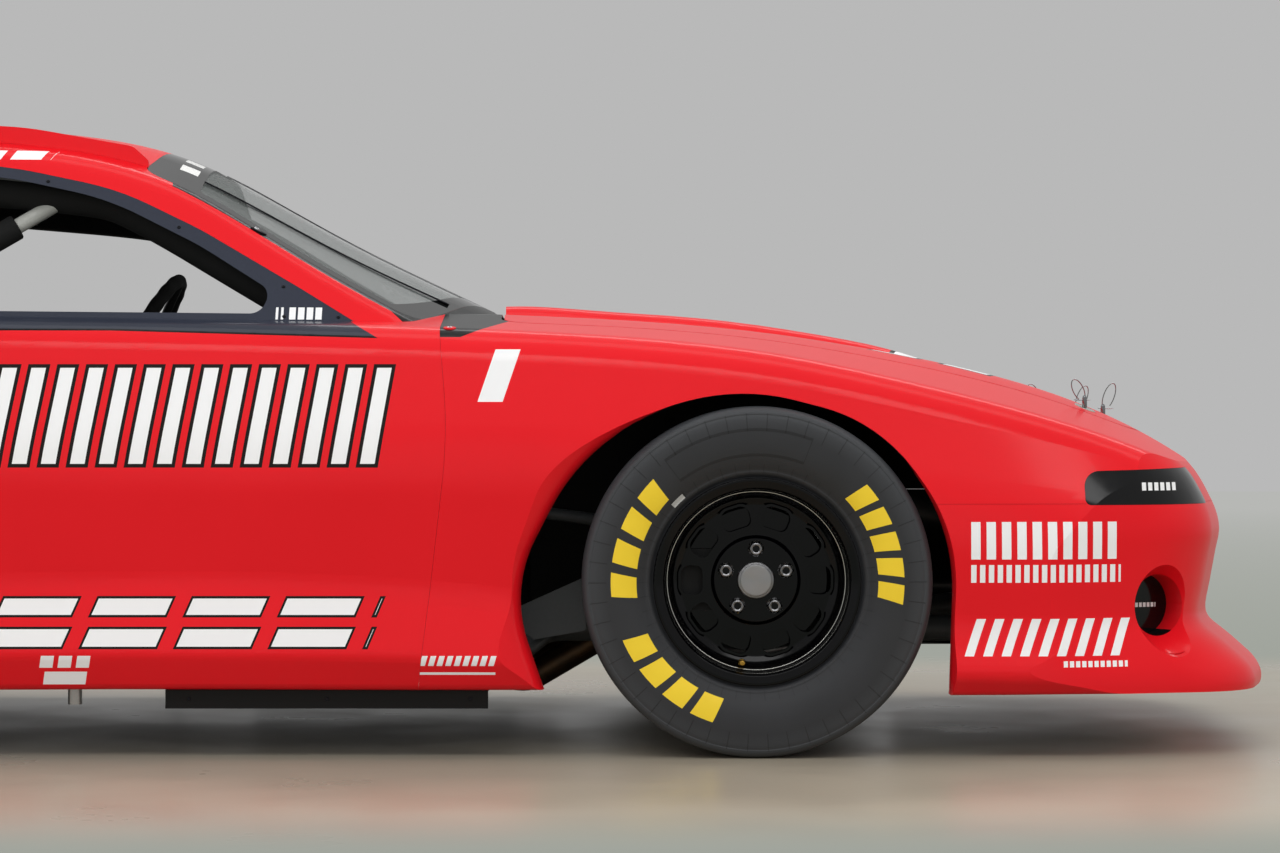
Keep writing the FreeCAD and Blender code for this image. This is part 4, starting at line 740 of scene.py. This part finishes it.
def wheel_set(axle, side, finish):
    """Tyre surface, polished ring, nuts, cap and valve of one wheel, in coordinates (a, b, out) round its middle.

    Seen from outside, a runs to the right and b up. The tyre is a closed profile of corner-cut points swept round.
    """
    s = SIDES[side]
    name = "_%s_%s" % (axle, side)
    body = "wheel" + name
    centre = (AXLE_X[axle], s * WHEEL_Y, TYRE_R)

    def put(local):
        """Points (a, b, out) in the row frame."""
        return local @ np.array([[-s, 0, 0], [0, 0, 1], [0, s, 0]]) + centre

    def piece(kind, profile, steps, key, slot=None, shut=False, held=False, shift=0.0, crease=35.0):
        """A piece of this wheel from its turned profile; held keeps the places for patterns."""
        local = (lathe(profile, steps) + shift).reshape(-1, 3)
        return skin_piece(kind + name, put(local), grid_faces(len(profile), steps, shut), finish[key], body,
                          local if held else None, crease)

    half = np.concatenate([rounded(TYRE_OUTER, 2), TYRE_INNER])
    profile = np.concatenate([half, half[-2:0:-1] * (-1, 1)]) / 1000
    tyre = piece("slick", profile, 160, "tyre_rubber", "tyre_rubber", True, True, crease=50)
    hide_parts("tyre" + name)

    lip = rounded(np.array([(57.5, 178.6), (61.5, 180.6), (62.8, 178.6), (59.0, 176.4)]) / 1000, 2, True)
    piece("polished_ring", lip, 160, "polished", shut=True)

    nut = [(33.5, 0), (33.5, 16.0), (35.5, 16.2), (38.5, 13.9), (51.5, 13.6), (55.0, 12.0), (56.0, 9.6), (54.6, 7.2),
           (47.5, 6.6), (47.0, 0)]
    local = lathe(np.array(nut) / 1000, 48, [0, 0, 0, 1, 1, 0.4, 0, 0, 0, 0])
    turn = math.pi / 2 - 2 * math.pi * np.arange(NUTS) / NUTS
    spots = NUT_CIRCLE * np.stack([np.cos(turn), np.sin(turn), 0 * turn], -1)
    local = spots[:, None] + local.reshape(1, -1, 3)
    skin_piece("lug_nuts" + name, put(local.reshape(-1, 3)), copies(local, grid_faces(len(nut), 48)),
               finish["nut_steel"], body)

    cap = rounded(np.array([(26, 0), (26, 41), (29, 41.5), (35, 37.4), (44, 37.2), (46.8, 35.5), (47.4, 32.6),
                            (48.9, 31), (49.3, 28), (49.3, 10), (49.1, 0)]) / 1000, 1)
    piece("hub_cap", cap, 96, "cap", "bare_aluminium", held=True)

    valve = rounded(np.array([(56, 0), (56, 7.6), (60, 7.8), (62, 5.0), (78, 4.8), (79, 6.4), (92, 6.4), (94, 5.0),
                              (94.5, 0)]) / 1000, 1)
    foot = VALVE_CIRCLE * np.array([math.cos(VALVE_TURN), math.sin(VALVE_TURN), 0])
    piece("valve", valve, 24, "brass", shift=foot)


# ---- small fittings ----
def screws(name, spots, normals, size, finish):
    """Button-head screws: a domed profile with a hexagonal socket, set at each spot along its outward normal.

    The profile is in parts of size, the head's radius in metres.
    """
    profile = np.array([(-0.25, 0), (-0.25, 1.0), (0.05, 1.0), (0.22, 0.93), (0.42, 0.72), (0.5, 0.45), (0.48, 0.42),
                        (0.22, 0.40), (0.2, 0)]) * size
    near = AHEAD if abs(normals[0][2]) > 0.9 else UP
    turned(name, profile, 24, spots, normals, finish, near=near, hexed=[0, 0, 0, 0, 0, 0, 1, 1, 1], crease=25)


def side_screws(finish):
    """Screws of the window surrounds and side skirts, found on each surface by a line in from the side."""
    rows = {"window_frame": [(-0.955, 0.882), (-0.846, 0.881), (-0.960, 0.944), (-1.180, 1.068), (-1.455, 1.165),
                             (-1.700, 1.192), (-1.940, 0.920), (-1.925, 1.040)],
            "side_skirts": [(-1.130, 0.117), (-0.855, 0.117), (-0.570, 0.117)]}
    for node, places in rows.items():
        for side, s in SIDES.items():
            target = node + "_" + side if node == "window_frame" else node
            spots, normals = on_skin(target, [(FX + u, s * ASIDE, z) for u, z in places], (0, -s, 0))
            screws("%s_screws_%s" % (node, side), spots, normals, 0.0040, finish["dark_screw"])


def windshield_fittings(finish, enamel):
    """Straps that follow the windshield, its side clips, and the studs at its lower corners."""
    for index, (y, end) in enumerate(((-0.43, -0.636), (0.0, -0.556), (0.43, -0.636))):
        starts = [(FX + u, y, ABOVE) for u in np.linspace(end, -1.150, 40)]
        line, normal = on_skin("windshield", starts, DOWN)
        # A strap is 24 mm wide and 3 mm thick, and each end is drawn in to one point.
        corners = np.array([(-12, -0.5), (12, -0.5), (12, 2.2), (10.5, 3.0), (-10.5, 3.0), (-12, 2.2)]) / 1000
        points = line[:, None] + corners[None, :, :1] * (0, 1, 0) + corners[None, :, 1:] * normal[:, None]
        shut = line[[0, -1], None] + np.zeros((2, 6, 3)) + normal[[0, -1], None] * 0.001
        points = np.concatenate([shut[:1], points, shut[1:]])
        skin_piece("windshield_strap_%d" % index, points, grid_faces(42, 6), finish["dark_screw"])
    for side, s in SIDES.items():
        (spot,), normal = on_skin("greenhouse", [(FX - 1.022, s * 0.600, ABOVE)], DOWN)
        across, up, axis = (v[0] for v in basis(normal, (-1.0, 0.0, 0.0)))
        outline = rounded([(-0.009, -0.020), (0.009, -0.020), (0.010, 0.016), (-0.010, 0.016)], 3, True)
        rings = [outline * 0.02, outline, outline, outline * 0.9, outline * 0.02]
        lift = np.array([0.0005, 0.0005, 0.0030, 0.0038, 0.0038])
        points = [spot + r[:, :1] * across + r[:, 1:] * up + h * axis for r, h in zip(rings, lift)]
        skin_piece("windshield_clip_" + side, points, grid_faces(5, len(outline)), finish["dark_screw"])
        screws("clip_screw_" + side, [spot + up * 0.004 + axis * 0.0035], [axis], 0.0055, finish["chrome"])
    spots, normals = on_skin("front_clip", [(FX - 0.616, s * ASIDE, 0.857) for s in SIDES.values()],
                             [(0, -s, 0) for s in SIDES.values()])
    screws("corner_studs", spots, normals, 0.0068, finish["chrome"])
    washer = [(-0.001, 0), (-0.001, 0.0130), (0.0016, 0.0126), (0.0022, 0.0110), (0.0022, 0)]
    turned("corner_washers", washer, 32, spots, normals, enamel["plain"], near=AHEAD)


def hood_pins(finish):
    """Four hood pins: a dished plate, a stud and a sprung wire clip that stands on its loop.

    The clip's wire follows an oval left open at its foot, whose points are 12 mm * sin t along the car and
    22 mm * (1 - cos t) up, taller on the inner pins, and the whole leans ahead or back with its height.
    """
    places = [(0.702, -0.450), (0.765, -0.250), (0.765, 0.250), (0.702, 0.450)]
    spots, normals = on_skin("hood", [(FX + u, y, ABOVE) for u, y in places], DOWN)
    plate = [(-0.0015, 0), (-0.0015, 0.0235), (0.0012, 0.0232), (0.0018, 0.021), (0.0008, 0.013), (0.0008, 0)]
    turned("hood_pin_plates", plate, 40, spots, normals, finish["polished"], "hood", AHEAD)
    stud = rounded([(-0.002, 0), (-0.002, 0.0052), (0.020, 0.0052), (0.026, 0.0030), (0.027, 0)], 1)
    turned("hood_pin_studs", stud, 20, spots, np.tile(UP, (4, 1)), finish["nut_steel"], "hood", AHEAD)
    turn = np.linspace(0.22 * math.pi, 1.86 * math.pi, 40)
    loops = []
    for spot, lean, tall in zip(spots, (-0.35, 0.30, 0.30, -0.35), (1.0, 1.25, 1.25, 1.0)):
        loop = np.stack([0.012 * np.sin(turn), 0 * turn, 0.022 * tall * (1 - np.cos(turn)) + 0.016], -1)
        leg = np.array([(0.020, 0, 0.0165), (-0.020, 0, 0.0165)])
        line = rounded(np.concatenate([leg, loop[::-1]]), 1)
        swing = np.array([[1, 0, 0], [0, 1, 0], [lean, 0, 1]])
        loops.append(tube(line @ swing + spot, 0.0011, (0, 1, 0), 8))
    points = np.stack([p.reshape(-1, 3) for p, _ in loops])
    skin_piece("hood_pin_clips", points, copies(points, loops[0][1]), finish["nut_steel"], "hood")


# ---- cabin ----
SEAT_Y = 0.396
SEAT_LINE = [(-1.503, 0.346), (-1.700, 0.330), (-1.850, 0.314), (-1.877, 0.345), (-1.890, 0.500), (-1.922, 0.874)]
WING_LINE = [(-1.532, 0.425), (-1.645, 0.448), (-1.748, 0.474), (-1.775, 0.560), (-1.800, 0.690), (-1.830, 0.832)]


def seat(finish):
    """Racing seat: a thin shell with side wings and legs, and a sewn cushion cover on it.

    The shell follows a line in side view; a wing is the ruled surface from that line to the wing's edge. The
    cushion's thickness is its crown, swollen towards the sides, less a narrow valley at each sewn channel.
    """
    line = rounded(SEAT_LINE, 4) + (FX, 0)
    edge = rounded(WING_LINE, 4) + (FX, 0)
    count = len(line)
    ahead = np.gradient(line, axis=0)
    ahead /= np.linalg.norm(ahead, axis=1, keepdims=True)
    out = np.stack([ahead[:, 1], -ahead[:, 0]], -1)
    out *= np.sign(out[0, 1])
    length = np.concatenate([[0], np.cumsum(np.linalg.norm(np.diff(line, axis=0), axis=1))])
    half, wall = 0.222, 0.005

    def sheet_points(first, last, y_low, y_high):
        """Closed box-like loop through two edge lines and two side planes."""
        edges = ((first, y_low), (last, y_low), (last, y_high), (first, y_high))
        return shut_ends(np.stack([np.insert(edge, 1, y, axis=1) for edge, y in edges], 1))

    shells = [sheet_points(line - out * 0.001, line - out * (wall + 0.001), SEAT_Y - half, SEAT_Y + half)]
    for s in (-1, 1):
        y = SEAT_Y + s * (half + wall / 2)
        shells.append(sheet_points(line - out * 0.014, edge, y - wall / 2, y + wall / 2))
    points = np.stack([p.reshape(-1, 3) for p in shells])
    shell = skin_piece("seat_shell", points, copies(points, grid_faces(count + 2, 4)), finish["seat_shell"])
    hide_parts("seat")
    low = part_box("seat")[0][2]
    leg = [(0, 0), (0, 0.024), (0.004, 0.024), (0.006, 0.0145), (0.074, 0.0145), (0.074, 0)]
    spots = [(FX + u, SEAT_Y + d, low) for u in (-1.58, -1.86) for d in (-0.18, 0.18)]
    legs = turned("seat_legs", leg, 24, spots, np.tile(UP, (4, 1)), finish["steel"], near=AHEAD)
    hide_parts("seat")

    turn = np.linspace(0, 2 * math.pi, 64, endpoint=False)
    across = np.sign(np.cos(turn)) * np.abs(np.cos(turn)) ** 0.4 * (half - 0.004)
    lift = np.where(np.sin(turn) > 0, np.abs(np.sin(turn)) ** 0.45, 0.0)
    crown = 0.020 + 0.022 * np.abs(across / half) ** 4
    channels = np.min(np.abs(length[:, None] - np.arange(0.09, length[-1], 0.085)[None]), 1)
    puff = 1 - 0.45 * np.exp(-(channels / 0.007) ** 2)
    pinch = np.clip(np.minimum(length, length[-1] - length) / 0.03, 0, 1) ** 0.5
    height = 0.0006 + (puff * pinch)[:, None] * (crown * lift)[None]
    points = np.stack([line[:, None, 0] + out[:, None, 0] * height, np.broadcast_to(SEAT_Y + across, height.shape),
                       line[:, None, 1] + out[:, None, 1] * height], -1)
    cover = skin_piece("seat_cover", shut_ends(points), grid_faces(count + 2, 64), finish["seat_black"],
                       crease=60)
    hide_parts("seat")


def cage_pad(finish):
    """Foam sleeve on the cage beside the driver's head, drawn in by three cable ties.

    Its radius is 38 mm, less at its ends and, as exp(-(distance / 6 mm)^2), at each tie.
    """
    start, end = np.array([FX - 1.430, 0.519, 1.159]), np.array([FX - 1.830, 0.509, 1.188])
    axis = end - start
    length = np.linalg.norm(axis)
    run = np.linspace(0, length, 90)
    ties = np.array([0.06, length / 2, length - 0.06])
    dip = np.exp(-((run[:, None] - ties[None]) / 0.006) ** 2).sum(1)
    ends = np.clip(np.minimum(run, length - run) / 0.006, 0, 1)
    outer = 0.0345 + 0.0035 * ends ** 0.5 - 0.0032 * dip
    profile = np.concatenate([np.stack([run, outer], -1), [(length, 0.0226), (0, 0.0226)]])
    sleeve = turned("cage_sleeve", profile, 48, [start], [axis], finish["foam_black"], shut=True,
                    crease=60)
    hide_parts("cage_padding")
    band = np.array([(-2.4, 34.6), (2.4, 34.6), (2.4, 36.2), (-2.4, 36.2)]) / 1000
    turned("sleeve_ties", band, 48, start + ties[:, None] * axis / length, np.tile(axis, (3, 1)),
           finish["black_plastic"], shut=True)


def window_pads(finish):
    """Black foam along the front pillar and the roof bar on both sides, and the right side's grey window brace.

    Each pad is a round sleeve whose middle line lies a little under the bar's; the brace leaves the roof bar and
    runs down and back to the hoop, with a foam sleeve on all but its top.
    """
    for side, s in SIDES.items():
        line = [(-0.742, 0.664, 0.786), (-1.000, 0.600, 0.936), (-1.296, 0.526, 1.112), (-1.390, 0.516, 1.134),
                (-1.700, 0.512, 1.160), (-1.930, 0.508, 1.178)]
        path = rounded(np.array(line) * (1.0, s, 1.0) + (FX, 0.0, 0.0), 3)
        path = np.concatenate([path[:1], path, path[-1:]])
        path[0] += (path[0] - path[2]) * 1e-4
        path[-1] += (path[-1] - path[-3]) * 1e-4
        points, faces = tube(path, 0.034, (0.0, s, 0.0), 28)
        skin_piece("pillar_pad_" + side, points, faces, finish["foam_black"], crease=60)
    start, end = np.array([FX - 1.420, -0.517, 1.140]), np.array([FX - 1.985, -0.648, 0.795])
    length = np.linalg.norm(end - start)
    for name, first, last, radius, key in (("window_brace", 0.0, 1.0, 0.0160, "brace_grey"),
                                           ("brace_foam", 0.19, 0.93, 0.0270, "foam_black")):
        low, high, edge = first * length, last * length, radius * 0.92
        shape = [(low, 0), (low, edge), (low + 0.003, radius), (high - 0.003, radius), (high, edge), (high, 0)]
        turned(name, shape, 40, [start], [end - start], finish[key], crease=60)


def steering_grip(finish):
    """Suede grip over the steering wheel's rim: a ring of radius 170 mm whose thickness swells twenty times."""
    # The slope of the steering column and the middle of the wheel, as in the part's own source.
    tilt = math.radians(31)
    column = np.array([math.cos(tilt), 0, -math.sin(tilt)])
    centre = np.array([FX - 1.391, 0.380, 0.850])
    side = np.array([0.0, 1.0, 0.0])
    down = np.cross(side, column)
    turn = np.linspace(0, 2 * math.pi, 180, endpoint=False)
    round_rim = np.linspace(0, 2 * math.pi, 24, endpoint=False)
    thick = 0.0158 + 0.0007 * np.cos(20 * turn)[:, None] - 0.0006 * np.exp(-(round_rim[None] - math.pi) ** 2 / 0.01)
    spoke = np.cos(turn)[:, None] * side + np.sin(turn)[:, None] * down
    ring = 0.170 + thick * np.cos(round_rim)[None]
    points = centre + spoke[:, None] * ring[:, :, None] + (thick * np.sin(round_rim))[:, :, None] * column
    skin_piece("steering_grip", points, grid_faces(180, 24, True), finish["suede"], "steering_wheel",
               crease=80)


def dash_dials(finish):
    """Six round gauges on the sloping face of the dashboard: a turned bezel round a pale face with a needle hub."""
    (face,), (normal,) = on_skin("dashboard", [(FX - 1.4, 0.30, 0.755)], AHEAD)
    slope = np.array([normal[2], 0.0, -normal[0]])
    slope *= np.sign(slope[2])
    # Each gauge's place across the car, its rise up the slope, and its size.
    gauges = np.array([(-0.30, 0.0, 1.0), (-0.205, 0.0, 1.0), (-0.10, 0.0, 1.0), (0.02, 0.012, 1.5),
                       (0.165, 0.0, 1.0), (0.255, 0.0, 1.0)])
    spots = face + gauges[:, :1] * (0, 1, 0) + gauges[:, 1:2] * slope
    bezel = [(-0.001, 0), (-0.001, 0.031), (0.008, 0.031), (0.0098, 0.0295), (0.0085, 0.0262), (0.004, 0.0258),
             (0.004, 0)]
    dial = [(0.0041, 0), (0.0041, 0.0252), (0.0047, 0.0252), (0.0047, 0)]
    needle = [(0.0049, 0), (0.0049, 0.0030), (0.0062, 0.0026), (0.0062, 0)]
    for name, profile, key in (("dash_bezels", bezel, "black_cover"), ("dash_dials", dial, "dial"),
                               ("dash_needle_hubs", needle, "dark_screw")):
        turned(name, profile, 40, spots, np.tile(normal, (len(spots), 1)), finish[key], sizes=gauges[:, 2])


def main():
    """Builds the set, then the finishes, then every fitting."""
    camera_and_light()
    studio_floor()
    finish = finishes()
    enamel = dress_nodes(finish)
    for axle in AXLE_X:
        for side in SIDES:
            wheel_set(axle, side, finish)
    side_screws(finish)
    windshield_fittings(finish, enamel)
    hood_pins(finish)
    seat(finish)
    cage_pad(finish)
    window_pads(finish)
    steering_grip(finish)
    dash_dials(finish)


main()
